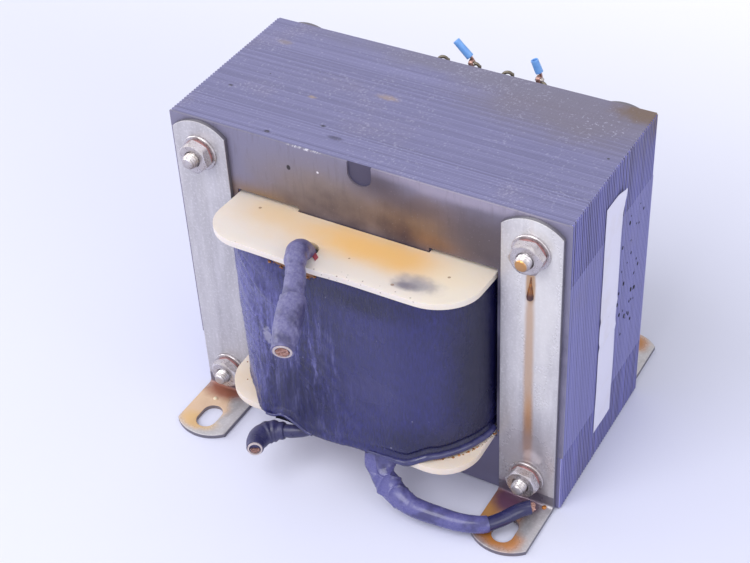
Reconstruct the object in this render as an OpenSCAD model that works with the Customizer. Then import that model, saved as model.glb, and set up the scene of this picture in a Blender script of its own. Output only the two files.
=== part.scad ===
// Open-frame power transformer: an interleaved E-I steel core, a moulded bobbin
// with a taped coil, four slotted angle feet clamped by through bolts, cut lead
// stubs at the front and a row of wire-loop terminals at the back.
// Millimetres. Origin on the ground under the middle of the core, +X to the right,
// +Y to the back, +Z up.

/* [Core] */
// Width of the core's middle leg
tongue_w = 44.45; // [36:0.05:54]
// Width of each outer leg
leg_w = 22.2; // [18:0.1:28]
// Height of the yokes above and below the windows
yoke_h = 22.2; // [18:0.1:28]
// Width of each window
window_w = 22.2; // [18:0.1:28]
// Height of each window
window_h = 66.7; // [56:0.1:80]
// Depth of the stack of plates, front to back
stack = 62.16; // [50:0.02:76]
// Number of plate pairs in the stack, each an upright and an inverted plate
pairs = 48; // [30:1:60]
// Gap between the legs of an E plate and its I plate
joint_gap = 0.12; // [0.05:0.01:0.3]
// How far the ends of the I plates stay inside the sides of the core
end_setback = 0.45; // [0.1:0.05:0.6]
// Sideways step between neighbouring E plates
plate_stagger = 0.06; // [0:0.02:0.5]
// Height of the core's underside above the ground
core_lift = 0.5; // [0:0.1:3]
// Width of the round-bottomed notch in the front plate
notch_w = 8; // [4:0.1:14]
// Depth of that notch
notch_depth = 7.6; // [5:0.1:12]

/* [Feet] */
// Width of the strap that each foot is bent from
strap_w = 19; // [15:0.1:22]
// Thickness of the strap
strap_t = 1.6; // [1.2:0.1:2.5]
// Inner radius of the bend
bend_r = 1.2; // [0.5:0.1:3]
// Height of the strap's round end above the upper bolt
strap_past_bolt = 10.9; // [9:0.1:14]
// Radius of the strap's round ends
strap_end_r = 13.3; // [12:0.1:30]
// Reach of a foot from the face of the core
foot_reach = 25.5; // [24:0.1:34]
// Distance of the slot's middle from the face of the core
slot_reach = 16.5; // [14:0.1:18]
// Width of the slot
slot_w = 7; // [4:0.1:9]
// Length of the slot, end to end
slot_len = 10.5; // [9.5:0.1:12]

/* [Bolts] */
// Diameter of the bolts
bolt_d = 4.8; // [3.5:0.1:6]
// Distance of the bolts from the sides of the core
bolt_inset_x = 11.1; // [10.5:0.1:12]
// Distance of the bolts from the top and bottom of the core
bolt_inset_z = 11.1; // [10.5:0.1:12]
// Gap round a bolt in the plates, feet and washers
bolt_clear = 0.35; // [0.1:0.05:0.6]
// Length of bolt beyond the outer face of its nut
bolt_tip = 2.9; // [1:0.1:6]
// Width of the nuts and bolt heads across flats
hex_af = 9.5; // [8.5:0.1:11]
// Thickness of a nut
nut_t = 3; // [2:0.1:5]
// Gap between the thread and the nut
thread_clear = 0.05; // [0.02:0.01:0.1]
// Height of a bolt head
head_t = 3; // [2:0.1:5]
// Outer diameter of the flat washers
washer_d = 12.7; // [11:0.1:15]
// Thickness of the flat washers
washer_t = 0.8; // [0.5:0.1:1.5]
// Outer diameter of the red fibre washers under the nuts
fibre_d = 10.6; // [9.5:0.1:12]
// Thickness of the fibre washers
fibre_t = 0.7; // [0.4:0.1:1.5]

/* [Bobbin] */
// Reach of the flanges from the faces of the core
flange_reach = 23.3; // [20:0.1:28]
// Thickness of the flanges
flange_t = 2.4; // [1.5:0.1:3.5]
// Corner radius of the flanges
flange_corner_r = 13.5; // [6:0.1:18]
// Gap between the upper flange and the upper yoke
flange_gap = 1.5; // [0.5:0.1:3]
// Gap between the lower flange and the lower yoke that it rests on
flange_rest = 0.2; // [0.1:0.1:3]
// Gap between the flanges and the outer legs
flange_side_gap = 0.3; // [0.1:0.1:1]
// Wall of the tube round the middle leg
tube_wall = 1.6; // [1:0.1:3]
// Gap between the tube and the middle leg
tube_clear = 0.3; // [0.2:0.05:0.8]
// Width of the slots that the leads come out of
lead_slot_w = 10.6; // [9.5:0.1:14]
// Depth of those slots, front to back
lead_slot_d = 9; // [8.5:0.1:10]
// Distance of the middle of the lead slots from the face of the core
lead_slot_reach = 15.5; // [14:0.1:17]

/* [Coil] */
// How far the taped coil stays behind the front edge of the flanges
wrap_inset = 1.3; // [0.5:0.1:4]
// Gap between the coil and the outer legs
wrap_side_gap = 0.9; // [0.4:0.1:2]
// Plan radius of the coil's corners
wrap_corner_r = 24; // [8:0.5:26]
// Gap between the coil and the bobbin
wrap_seat = 0.2; // [0.1:0.05:0.5]
// Width of the bulge in the tape over the lower leads
bulge_w = 48; // [20:1:50]
// Sideways place of the middle of that bulge
bulge_x = -2; // [-10:0.5:10]
// How far the bulge stands in front of the coil
bulge_depth = 2.4; // [1.8:0.1:5]
// Drop of the bulge below the top of the lower flange
bulge_drop = 3.1; // [1:0.1:6]

/* [Terminals] */
// Number of wire loops on the back of the upper flange
loops = 4; // [1:1:6]
// Distance between neighbouring loops
loop_pitch = 11.75; // [8:0.05:12.5]
// Sideways place of the middle of the row of loops
loop_row_x = 5.9; // [0:0.1:8]
// Diameter of the terminal wire
loop_wire_d = 1.1; // [0.8:0.1:2]
// Width of a loop between the middles of its legs
loop_w = 3.3; // [3:0.1:6]
// Height of a loop above the flange
loop_h = 17.6; // [8:0.1:24]
// Diameter of the cut wires soldered to the loops
tail_d = 1.4; // [1:0.1:2]
// Diameter of the coloured sleeves on the cut wires
sleeve_d = 2.5; // [2.2:0.1:4]
// Length of the longer sleeve
long_sleeve = 6.8; // [4:0.1:14]
// Length of the shorter sleeve
short_sleeve = 4.4; // [3:0.1:10]

/* [Leads] */
// Diameter of the upper lead where it leaves the flange
top_lead_d = 7.2; // [5:0.1:8]
// Diameter of the upper lead's outer sleeve
top_sleeve_d = 8.6; // [6:0.1:10]
// Diameter of the lower left lead
left_lead_d = 5.4; // [4:0.1:7]
// Diameter of the lower left lead's outer sleeve
left_sleeve_d = 7.8; // [5:0.1:9]
// Diameter of the crumpled sleeve on the lower right lead
right_boot_d = 8.6; // [6:0.1:9.5]
// Diameter of the smooth sleeve on the lower right lead
right_sleeve_d = 5.6; // [4:0.1:7]
// Diameter of the bare cable at the end of the lower right lead
right_cable_d = 4.6; // [3:0.1:6]
// Diameter of the copper at the cut ends
copper_d = 3.6; // [2:0.1:4.4]
// How far the copper stands out of the cut ends
copper_out = 0.4; // [0.1:0.1:2]

/* [Hidden] */
$fn = 64;
lead_sides = 10;

// Overall sizes of the core
core_w = tongue_w + 2 * window_w + 2 * leg_w;
core_h = window_h + 2 * yoke_h;
plate_t = stack / (2 * pairs);
core_mid_z = core_lift + core_h / 2;
core_top = core_lift + core_h;
window_low = core_lift + yoke_h;
window_high = window_low + window_h;
face_front = -stack / 2;
face_back = stack / 2;

// Bolt axes
bolt_x = core_w / 2 - bolt_inset_x;
bolt_low = core_lift + bolt_inset_z;
bolt_high = core_top - bolt_inset_z;
hole_d = bolt_d + 2 * bolt_clear;
hex_d = hex_af / cos(30);

// Stack of pieces on each bolt, outward from the face of the core
washer_seat = strap_t;
fibre_seat = washer_seat + washer_t;
nut_seat = fibre_seat + fibre_t;
bolt_end = nut_seat + nut_t + bolt_tip;
head_seat = washer_seat + washer_t;

// Bobbin levels and half sizes
flange_half_w = tongue_w / 2 + window_w - flange_side_gap;
flange_half_d = stack / 2 + flange_reach;
low_flange_z = window_low + flange_rest;
low_flange_top = low_flange_z + flange_t;
high_flange_z = window_high - flange_gap - flange_t;
high_flange_top = high_flange_z + flange_t;
tube_in_w = tongue_w + plate_stagger + 2 * tube_clear;
tube_in_d = stack + 2 * tube_clear;
tube_out_w = tube_in_w + 2 * tube_wall;
tube_out_d = tube_in_d + 2 * tube_wall;
lead_slot_y = face_front - lead_slot_reach;

// Coil
wrap_half_w = tongue_w / 2 + window_w - wrap_side_gap;
wrap_half_d = flange_half_d - wrap_inset;
wrap_low = low_flange_top + wrap_seat;
wrap_high = high_flange_z - wrap_seat;
bulge_r = (pow(bulge_w / 2, 2) + pow(bulge_depth, 2)) / (2 * bulge_depth);

// Terminals
loop_y = face_back + flange_reach / 2;
loop_top = high_flange_top + loop_h;
loop_x = [for (i = [0 : loops - 1]) loop_row_x + (i - (loops - 1) / 2) * loop_pitch];
long_loop = floor((loops - 1) / 2);
short_loop = loops - 1;
tail_len = 2.2;
long_sleeve_lean = -48;
short_sleeve_lean = -24;

// Routes of the leads, from the bobbin to the cut end: points to the right of the
// middle, behind the front face of the core and above the named level
function placed(points, level) = [for (p = points) [p.x, face_front + p.y, level + p.z]];
top_route = placed([
    [-10, -15.9, -2.1], [-9.9, -17.1, 0.5], [-9.4, -19.5, 3.1], [-8.4, -23.1, 4.3],
    [-6.6, -26.7, 3.7], [-4.7, -29.7, 2.5], [-3.2, -32.9, 1.3], [-1.8, -36.1, 0.1],
    [-0.6, -39.3, -1.1], [0.6, -42.7, -2.3], [2.2, -46.9, -3.6], [4.2, -51.9, -4.9]
], high_flange_top);
top_sleeve_from = 6;
left_route = placed([
    [-8, -15.5, 2.3], [-8.2, -16.3, -0.2], [-9.4, -18.5, -2.6], [-12, -21.5, -3.8],
    [-15.6, -23.7, -4.3], [-19.4, -24.9, -4.7], [-22.6, -26.5, -5.1], [-24.4, -29.3, -5.3],
    [-24.2, -32.7, -5.1], [-22.6, -35.9, -4.7]
], low_flange_z);
left_sleeve_from = 6;
right_route = concat(
    placed([[12, -15.5, 2.3], [12.2, -15.9, -1.6], [12.8, -17.7, -4.8]], low_flange_z),
    placed([
        [13.8, -19.7, 13.4], [15.6, -21.7, 10.4], [18.6, -23.1, 8], [22.4, -24.3, 6.2],
        [26.6, -24.9, 5], [30.6, -24.7, 4.3], [34.6, -24.2, 3.9], [38.6, -23.7, 3.6],
        [42.4, -23.1, 3.4], [46.8, -21.9, 3.4], [50.8, -19.9, 3.4], [54.2, -16.3, 3.8],
        [57.2, -12.1, 4.6], [59.8, -9.5, 5.2], [62.6, -7.8, 5.6]
    ], strap_t)
);
right_sleeve_from = 7;
right_cable_from = 13;

// Lead sweeps: a ring of points across the route at each of its points
function unit(v) = v / norm(v);
function heading(route, i) = unit(route[min(i + 1, len(route) - 1)] - route[max(i - 1, 0)]);
function ring(centre, along, across, r) =
    let (u = unit(across - along * (across * along)), v = cross(along, u), step = 360 / lead_sides)
    [for (s = [0 : lead_sides - 1]) centre + r * (cos(s * step) * u + sin(s * step) * v)];

// A plate or other flat outline standing upright, with its front face at y
module upright(y, t) {
    translate([0, y + t, 0]) rotate([90, 0, 0]) linear_extrude(t) children();
}

// A solid swept along part of a route, cut square to the route at both ends
module swept(route, from, to, d, across) {
    count = to - from + 1;
    rings = [for (i = [from : to]) each ring(route[i], heading(route, i), across, d / 2)];
    sides = [
        for (i = [0 : count - 2]) for (s = [0 : lead_sides - 1])
        let (a = i * lead_sides, b = a + lead_sides, n = (s + 1) % lead_sides)
        each [[a + s, b + n, a + n], [a + s, b + s, b + n]]
    ];
    first = [for (s = [0 : lead_sides - 1]) s];
    last = [for (s = [0 : lead_sides - 1]) count * lead_sides - 1 - s];
    polyhedron(rings, concat([first], sides, [last]));
}

// A round stub that carries on from the end of a route
module route_tip(route, d, length) {
    end = route[len(route) - 1];
    along = heading(route, len(route) - 1);
    translate(end)
        rotate([0, acos(along.z), atan2(along.y, along.x)])
        cylinder(d = d, h = length);
}

// Bolt holes of one row, as seen from the front
module bolt_row(z) {
    for (side = [-1, 1]) translate([side * bolt_x, z]) circle(d = hole_d);
}

// Front outline of an E plate with its yoke at the top
module e_outline(shift) {
    legs_low = window_low + joint_gap;
    difference() {
        translate([shift - core_w / 2, legs_low]) square([core_w, core_top - legs_low]);
        for (side = [-1, 1]) {
            translate([shift + side * (tongue_w + window_w) / 2, (legs_low + window_high) / 2 - 0.5])
                square([window_w, window_high - legs_low + 1], center = true);
        }
        bolt_row(bolt_high);
    }
}

// Front outline of an I plate under the legs of an E plate
module i_outline() {
    difference() {
        translate([end_setback - core_w / 2, core_lift]) square([core_w - 2 * end_setback, yoke_h]);
        bolt_row(bolt_low);
    }
}

// The same outline turned upside down about the middle of the core
module inverted() {
    translate([0, 2 * core_mid_z]) mirror([0, 1]) children();
}

module front_plate() {
    notch_r = notch_w / 2;
    color("#5d5a68") upright(face_front, plate_t) difference() {
        e_outline(plate_stagger / 2);
        translate([0, core_top - notch_depth + notch_r]) circle(r = notch_r);
        translate([-notch_r, core_top - notch_depth + notch_r]) square([notch_w, notch_depth]);
    }
}

module e_plates_up() {
    color("#4b4860") for (k = [1 : pairs - 1]) {
        upright(face_front + 2 * k * plate_t, plate_t) e_outline(plate_stagger / 2);
    }
}

module e_plates_down() {
    color("#45425a") for (k = [0 : pairs - 1]) {
        upright(face_front + (2 * k + 1) * plate_t, plate_t) inverted() e_outline(-plate_stagger / 2);
    }
}

module i_plates_top() {
    color("#514e66") for (k = [0 : pairs - 1]) {
        upright(face_front + (2 * k + 1) * plate_t, plate_t) inverted() i_outline();
    }
}

module i_plates_bottom() {
    color("#514e66") for (k = [0 : pairs - 1]) {
        upright(face_front + 2 * k * plate_t, plate_t) i_outline();
    }
}

// Strap outline from its lower edge to its round end, with the end's top at height h
module strap_outline(low, h) {
    intersection() {
        translate([-strap_w / 2, low]) square([strap_w, h - low]);
        union() {
            translate([0, h - strap_end_r]) circle(r = strap_end_r);
            translate([-strap_w / 2, low]) square([strap_w, h - strap_end_r - low]);
        }
    }
}

// A foot at the right end of the front face
module foot() {
    bend_out = bend_r + strap_t;
    color("#a8a69c") translate([bolt_x, face_front, 0]) {
        upright(-strap_t, strap_t) difference() {
            strap_outline(bend_out, bolt_high + strap_past_bolt);
            for (z = [bolt_low, bolt_high]) translate([0, z]) circle(d = hole_d);
        }
        translate([-strap_w / 2, -bend_out, bend_out]) rotate([0, 90, 0])
            rotate_extrude(angle = 90) translate([bend_r, 0]) square([strap_t, strap_w]);
        linear_extrude(strap_t) difference() {
            mirror([0, 1]) strap_outline(bend_out, foot_reach);
            for (end = [-1, 1]) {
                translate([0, -slot_reach + end * (slot_len - slot_w) / 2]) circle(d = slot_w);
            }
            translate([0, -slot_reach]) square([slot_w, slot_len - slot_w], center = true);
        }
    }
}

module front_right_foot() {
    foot();
}

module front_left_foot() {
    mirror([1, 0, 0]) foot();
}

module back_right_foot() {
    mirror([0, 1, 0]) foot();
}

module back_left_foot() {
    mirror([1, 0, 0]) mirror([0, 1, 0]) foot();
}

// Six-sided solid with its corners turned off, axis along -Y from y = 0
module hex_block(t) {
    chamfer = (hex_d - hex_af) / 2;
    rotate([90, 0, 0]) intersection() {
        cylinder(d = hex_d, h = t, $fn = 6);
        union() {
            cylinder(d = hex_d, h = t - chamfer / 2);
            translate([0, 0, t - chamfer / 2]) cylinder(d1 = hex_d, d2 = hex_af, h = chamfer / 2);
        }
    }
}

// Round bar along -Y from y = 0
module bar(d, length) {
    rotate([90, 0, 0]) cylinder(d = d, h = length);
}

module bolt(x, z) {
    color("#b0a48c") translate([x, 0, z]) {
        translate([0, face_back + head_seat, 0]) bar(bolt_d, stack + head_seat + bolt_end);
        translate([0, face_back + head_seat, 0]) mirror([0, 1, 0]) hex_block(head_t);
    }
}

module nut(x, z) {
    color("#b9b6ae") translate([x, face_front - nut_seat, z]) difference() {
        hex_block(nut_t);
        translate([0, 1, 0]) bar(bolt_d + 2 * thread_clear, nut_t + 2);
    }
}

// Four washers, with the face nearest the core at y
module washers(y, d, t) {
    for (x = [-bolt_x, bolt_x]) for (z = [bolt_low, bolt_high]) translate([x, y, z]) difference() {
        bar(d, t);
        translate([0, 1, 0]) bar(hole_d, t + 2);
    }
}

module upper_left_bolt() {
    bolt(-bolt_x, bolt_high);
}

module upper_right_bolt() {
    bolt(bolt_x, bolt_high);
}

module lower_left_bolt() {
    bolt(-bolt_x, bolt_low);
}

module lower_right_bolt() {
    bolt(bolt_x, bolt_low);
}

module upper_left_nut() {
    nut(-bolt_x, bolt_high);
}

module upper_right_nut() {
    nut(bolt_x, bolt_high);
}

module lower_left_nut() {
    nut(-bolt_x, bolt_low);
}

module lower_right_nut() {
    nut(bolt_x, bolt_low);
}

module front_washers() {
    color("#c8c6c0") washers(face_front - washer_seat, washer_d, washer_t);
}

module fibre_washers() {
    color("#8a4a38") washers(face_front - fibre_seat, fibre_d, fibre_t);
}

module back_washers() {
    color("#c8c6c0") mirror([0, 1, 0]) washers(face_front - washer_seat, washer_d, washer_t);
}

// Plan of a rectangle with round corners
module rounded_plan(half_w, half_d, r) {
    square([2 * half_w, 2 * (half_d - r)], center = true);
    square([2 * (half_w - r), 2 * half_d], center = true);
    for (x = [-1, 1]) for (y = [-1, 1]) {
        translate([x * (half_w - r), y * (half_d - r)]) circle(r = r);
    }
}

// Plan of a slot that a lead comes out of
module lead_slot(x) {
    reach = (lead_slot_w - lead_slot_d) / 2;
    translate([x, lead_slot_y]) {
        for (side = [-1, 1]) translate([side * reach, 0]) circle(d = lead_slot_d);
        square([2 * reach, lead_slot_d], center = true);
    }
}

module bobbin() {
    color("#ead9b0") {
        translate([0, 0, high_flange_z]) linear_extrude(flange_t) difference() {
            rounded_plan(flange_half_w, flange_half_d, flange_corner_r);
            square([tube_in_w, tube_in_d], center = true);
            lead_slot(top_route[0].x);
        }
        translate([0, 0, low_flange_z]) linear_extrude(flange_t) difference() {
            rounded_plan(flange_half_w, flange_half_d, flange_corner_r);
            square([tube_in_w, tube_in_d], center = true);
            lead_slot(left_route[0].x);
            lead_slot(right_route[0].x);
        }
        translate([0, 0, low_flange_top]) linear_extrude(high_flange_z - low_flange_top) difference() {
            square([tube_out_w, tube_out_d], center = true);
            square([tube_in_w, tube_in_d], center = true);
        }
    }
}

module coil_wrap() {
    color("#2b2a4a") translate([0, 0, wrap_low]) linear_extrude(wrap_high - wrap_low) difference() {
        rounded_plan(wrap_half_w, wrap_half_d, wrap_corner_r);
        square([tube_out_w + 2 * wrap_seat, tube_out_d + 2 * wrap_seat], center = true);
    }
}

// The tape stands out over the lower leads and hides the edge of the flange there
module wrap_bulge() {
    low = low_flange_top - bulge_drop;
    color("#2b2a4a") difference() {
        intersection() {
            translate([bulge_x, bulge_r - wrap_half_d - bulge_depth, low])
                cylinder(r = bulge_r, h = bulge_w, $fn = 360);
            translate([bulge_x - bulge_w / 2, bulge_r - wrap_half_d - bulge_depth, low_flange_top])
                rotate([0, 90, 0]) cylinder(r = bulge_r, h = bulge_w, $fn = 360);
            translate([bulge_x - bulge_w / 2, -wrap_half_d - bulge_depth, low])
                cube([bulge_w, wrap_corner_r, bulge_w]);
        }
        translate([0, 0, wrap_low]) linear_extrude(bulge_w)
            rounded_plan(wrap_half_w, wrap_half_d, wrap_corner_r);
        translate([bulge_x - bulge_w, -flange_half_d - wrap_seat, low - 1])
            cube([2 * bulge_w, flange_half_d, wrap_low - low + 1]);
    }
}

module terminal_loops() {
    straight = loop_h - loop_w / 2 - loop_wire_d / 2;
    color("#8c8678") for (x = loop_x) translate([x, loop_y, high_flange_top]) {
        for (side = [-1, 1]) translate([side * loop_w / 2, 0, 0]) cylinder(d = loop_wire_d, h = straight);
        translate([0, 0, straight]) rotate([90, 0, 0]) rotate_extrude(angle = 180)
            translate([loop_w / 2, 0]) circle(d = loop_wire_d);
    }
}

// A cut wire that stands on the top of a loop and leans to one side
module tail(x, lean) {
    translate([x, loop_y, loop_top]) rotate([0, lean, 0]) children();
}

module long_sleeve_tail() {
    color("#8a5a4a") tail(loop_x[long_loop], long_sleeve_lean) cylinder(d = tail_d, h = tail_len);
}

module short_sleeve_tail() {
    color("#8a5a4a") tail(loop_x[short_loop], short_sleeve_lean) cylinder(d = tail_d, h = tail_len);
}

module long_blue_sleeve() {
    color("#5c8fd6") tail(loop_x[long_loop], long_sleeve_lean)
        translate([0, 0, tail_len]) cylinder(d = sleeve_d, h = long_sleeve);
}

module short_blue_sleeve() {
    color("#5c8fd6") tail(loop_x[short_loop], short_sleeve_lean)
        translate([0, 0, tail_len]) cylinder(d = sleeve_d, h = short_sleeve);
}

module top_lead() {
    color("#3c3a48") swept(top_route, 0, top_sleeve_from, top_lead_d, [1, 0, 0]);
}

module top_lead_sleeve() {
    color("#44424f") swept(top_route, top_sleeve_from, len(top_route) - 1, top_sleeve_d, [1, 0, 0]);
}

module top_lead_copper() {
    color("#b88a78") route_tip(top_route, copper_d, copper_out);
}

module left_lead() {
    color("#3c3a48") swept(left_route, 0, left_sleeve_from, left_lead_d, [1, -1, 1]);
}

module left_lead_sleeve() {
    color("#44424f") swept(left_route, left_sleeve_from, len(left_route) - 1, left_sleeve_d, [1, -1, 1]);
}

module left_lead_copper() {
    color("#b88a78") route_tip(left_route, copper_d, copper_out);
}

module right_lead_boot() {
    color("#44424f") swept(right_route, 0, right_sleeve_from, right_boot_d, [1, -1, 1]);
}

module right_lead_sleeve() {
    color("#3c3a48") swept(right_route, right_sleeve_from, right_cable_from, right_sleeve_d, [1, -1, 1]);
}

module right_lead_cable() {
    color("#2a2830") swept(right_route, right_cable_from, len(right_route) - 1, right_cable_d, [1, -1, 1]);
}

module right_lead_copper() {
    color("#b88a78") route_tip(right_route, copper_d, copper_out);
}

front_plate();
e_plates_up();
e_plates_down();
i_plates_top();
i_plates_bottom();
front_left_foot();
front_right_foot();
back_left_foot();
back_right_foot();
upper_left_bolt();
upper_right_bolt();
lower_left_bolt();
lower_right_bolt();
upper_left_nut();
upper_right_nut();
lower_left_nut();
lower_right_nut();
front_washers();
fibre_washers();
back_washers();
bobbin();
coil_wrap();
wrap_bulge();
terminal_loops();
long_sleeve_tail();
short_sleeve_tail();
long_blue_sleeve();
short_blue_sleeve();
top_lead();
top_lead_sleeve();
top_lead_copper();
left_lead();
left_lead_sleeve();
left_lead_copper();
right_lead_boot();
right_lead_sleeve();
right_lead_cable();
right_lead_copper();
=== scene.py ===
"""Finishes and fine pieces of an open-frame power transformer, laid out as an add-on.

Points in the code are millimetres in the shared frame: +X to the right, +Y to the
back, +Z up, with the ground at zero. Meshes are written in metres.
"""
import math
import random

import bmesh
import bpy
from bpy.props import FloatProperty, FloatVectorProperty, PointerProperty
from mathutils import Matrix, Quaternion, Vector, noise


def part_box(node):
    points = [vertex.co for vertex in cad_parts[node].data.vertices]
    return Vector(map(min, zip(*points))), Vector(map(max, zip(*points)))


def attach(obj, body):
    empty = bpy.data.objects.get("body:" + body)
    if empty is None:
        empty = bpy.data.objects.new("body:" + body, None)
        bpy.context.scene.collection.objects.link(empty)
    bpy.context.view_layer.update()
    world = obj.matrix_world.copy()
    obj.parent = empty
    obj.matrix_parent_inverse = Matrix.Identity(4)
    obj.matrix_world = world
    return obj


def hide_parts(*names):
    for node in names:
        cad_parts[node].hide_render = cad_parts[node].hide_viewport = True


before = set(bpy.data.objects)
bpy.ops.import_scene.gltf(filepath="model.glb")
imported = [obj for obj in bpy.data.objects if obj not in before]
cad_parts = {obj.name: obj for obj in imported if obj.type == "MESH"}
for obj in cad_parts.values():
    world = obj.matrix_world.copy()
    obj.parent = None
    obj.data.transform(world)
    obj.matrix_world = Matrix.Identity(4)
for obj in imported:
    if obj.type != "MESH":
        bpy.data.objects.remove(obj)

bl_info = {
    "name": "Open-frame transformer",
    "version": (1, 0, 0),
    "blender": (4, 5, 0),
    "location": "3D View > Sidebar > Transformer",
    "description": "Gives a packed open-frame transformer its finishes and fine pieces",
    "category": "Object",
}

# Sizes and routes, taken from the frame
MM = 0.001
TURN = 2 * math.pi
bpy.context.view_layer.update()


def corners(node):
    """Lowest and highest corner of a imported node, in millimetres."""
    return tuple(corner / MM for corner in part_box(node))


PLATE_LOW, PLATE_HIGH = corners("front_plate")
PLATE_T = PLATE_HIGH.y - PLATE_LOW.y
FACE = PLATE_LOW.y
CORE_TOP = PLATE_HIGH.z
SIDE = PLATE_HIGH.x
FLANGE_LOW, FLANGE_HIGH = corners("bobbin")
WRAP_LOW, WRAP_HIGH = corners("coil_wrap")
FLANGE_T = 2.4
STRAP_T = 1.6
# Middle of the swelling that the leads make in the front of the coil
LEADS_X = -5.0
BOLTS = ("upper_left", "upper_right", "lower_left", "lower_right")
FEET = ("front_left", "front_right", "back_left", "back_right")


def placed(points, level):
    """Route points given from the core's front face and a level, as in the part."""
    return [Vector((x, FACE + y, level + z)) for x, y, z in points]


TOP_ROUTE = placed([
    (-10, -15.9, -2.1), (-9.9, -17.1, 0.5), (-9.4, -19.5, 3.1), (-8.4, -23.1, 4.3),
    (-6.6, -26.7, 3.7), (-4.7, -29.7, 2.5), (-3.2, -32.9, 1.3), (-1.8, -36.1, 0.1),
    (-0.6, -39.3, -1.1), (0.6, -42.7, -2.3), (2.2, -46.9, -3.6), (4.2, -51.9, -4.9),
], FLANGE_HIGH.z)
LEFT_ROUTE = placed([
    (-8, -15.5, 2.3), (-8.2, -16.3, -0.2), (-9.4, -18.5, -2.6), (-12, -21.5, -3.8),
    (-15.6, -23.7, -4.3), (-19.4, -24.9, -4.7), (-22.6, -26.5, -5.1), (-24.4, -29.3, -5.3),
    (-24.2, -32.7, -5.1), (-22.6, -35.9, -4.7),
], FLANGE_LOW.z)
RIGHT_ROUTE = placed([
    (12, -15.5, 2.3), (12.2, -15.9, -1.6), (12.8, -17.7, -4.8),
], FLANGE_LOW.z) + placed([
    (13.8, -19.7, 13.4), (15.6, -21.7, 10.4), (18.6, -23.1, 8), (22.4, -24.3, 6.2),
    (26.6, -24.9, 5), (30.6, -24.7, 4.3), (34.6, -24.2, 3.9), (38.6, -23.7, 3.6),
    (42.4, -23.1, 3.4), (46.8, -21.9, 3.4), (50.8, -19.9, 3.4), (54.2, -16.3, 3.8),
    (57.2, -12.1, 4.6), (59.8, -9.5, 5.2), (62.6, -7.8, 5.6),
], STRAP_T)


# Colours and shader nodes
def linear(code):
    """Linear colour of an sRGB hex code."""
    parts = [int(code[i:i + 2], 16) / 255 for i in (0, 2, 4)]
    return tuple(c / 12.92 if c <= 0.04045 else ((c + 0.055) / 1.055) ** 2.4 for c in parts) + (1.0,)


def per_mm(size):
    """Texture scale of a pattern that repeats about every so many millimetres."""
    return 1 / (size * MM)


def join(tree, node, inputs):
    """Links nodes or their sockets to a node's inputs, or sets plain values or hex colours on them."""
    for key, value in inputs.items():
        if isinstance(value, bpy.types.Node):
            value = next(socket for socket in value.outputs if socket.enabled)
        if isinstance(value, str):
            value = linear(value)
        if isinstance(value, bpy.types.NodeSocket):
            tree.links.new(value, node.inputs[key])
        else:
            node.inputs[key].default_value = value


def add(tree, kind, inputs, **settings):
    """Adds one shader node with its settings and links."""
    node = tree.nodes.new("ShaderNode" + kind)
    for name, value in settings.items():
        setattr(node, name, value)
    join(tree, node, inputs)
    return node


def new_finish(name):
    """A new material, its tree and shader, and where a point lies in the frame."""
    material = bpy.data.materials.new(name)
    material.use_nodes = True
    tree = material.node_tree
    tree.nodes.clear()
    shader = add(tree, "BsdfPrincipled", {})
    add(tree, "OutputMaterial", {"Surface": shader})
    where = add(tree, "TexCoord", {}).outputs["Object"]
    return material, tree, shader, where


def streaked(tree, where, sizes, detail, rough):
    """Noise that is drawn out, with the length of its streaks along each axis in millimetres."""
    drawn = add(tree, "Mapping", {"Vector": where, "Scale": [per_mm(s) for s in sizes]})
    return add(tree, "TexNoise", {"Vector": drawn, "Scale": 1.0, "Detail": detail, "Roughness": rough})


def patch(tree, where, centre, reach, soft=0.4, ragged=0.3, grain=6.0):
    """Mask of a ragged patch about a point, with its half sizes in millimetres."""
    wobble = add(tree, "TexNoise", {"Vector": where, "Scale": per_mm(grain), "Detail": 4.0})
    off = add(tree, "VectorMath", {0: where, 1: [c * MM for c in centre]}, operation="SUBTRACT")
    part = add(tree, "VectorMath", {0: off, 1: [per_mm(r) for r in reach]}, operation="MULTIPLY")
    far = add(tree, "VectorMath", {0: part}, operation="LENGTH").outputs["Value"]
    edge = add(tree, "Math", {0: wobble, 1: 2 * ragged, 2: far}, operation="MULTIPLY_ADD")
    return add(tree, "MapRange", {0: edge, 1: 1 + ragged + soft, 2: 1 + ragged - soft},
               interpolation_type="SMOOTHSTEP")


def flecks(tree, where, every, empty, size):
    """Mask of scattered flecks: the cell in millimetres, the share of empty cells, the largest size."""
    cell = add(tree, "Mapping", {"Vector": where, "Scale": [per_mm(e) for e in every]})
    spots = add(tree, "TexVoronoi", {"Vector": cell, "Scale": 1.0})
    chance = add(tree, "SeparateColor", {0: spots.outputs["Color"]})
    reach = add(tree, "MapRange", {0: chance, 1: empty, 2: 1.0, 4: size})
    return add(tree, "Math", {0: spots.outputs["Distance"], 1: reach}, operation="LESS_THAN")


def laid(tree, colour, mask, share, tone):
    """A tone laid over a colour where a mask says, at a share of its strength."""
    part = add(tree, "Math", {0: mask, 1: share}, operation="MULTIPLY")
    return add(tree, "Mix", {0: part, 6: colour, 7: tone}, data_type="RGBA")


def mottled(name, grain, detail, low, high, sockets, depth=0.0):
    """A plain finish that wavers between two colours in patches of so many millimetres, with the other
    values of its shader, and bumps as deep as given, in millimetres."""
    material, tree, shader, where = new_finish(name)
    wear = add(tree, "TexNoise", {"Vector": where, "Scale": per_mm(grain), "Detail": detail})
    colour = add(tree, "Mix", {0: wear, 6: low, 7: high}, data_type="RGBA")
    join(tree, shader, {"Base Color": colour, **sockets})
    if depth:
        join(tree, shader, {"Normal": add(tree, "Bump", {"Height": wear, "Distance": depth * MM})})
    return material


def once(name, make, *settings):
    """A finish that more than one step uses, made by the first of them."""
    return bpy.data.materials.get(name) or make(*settings)


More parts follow.
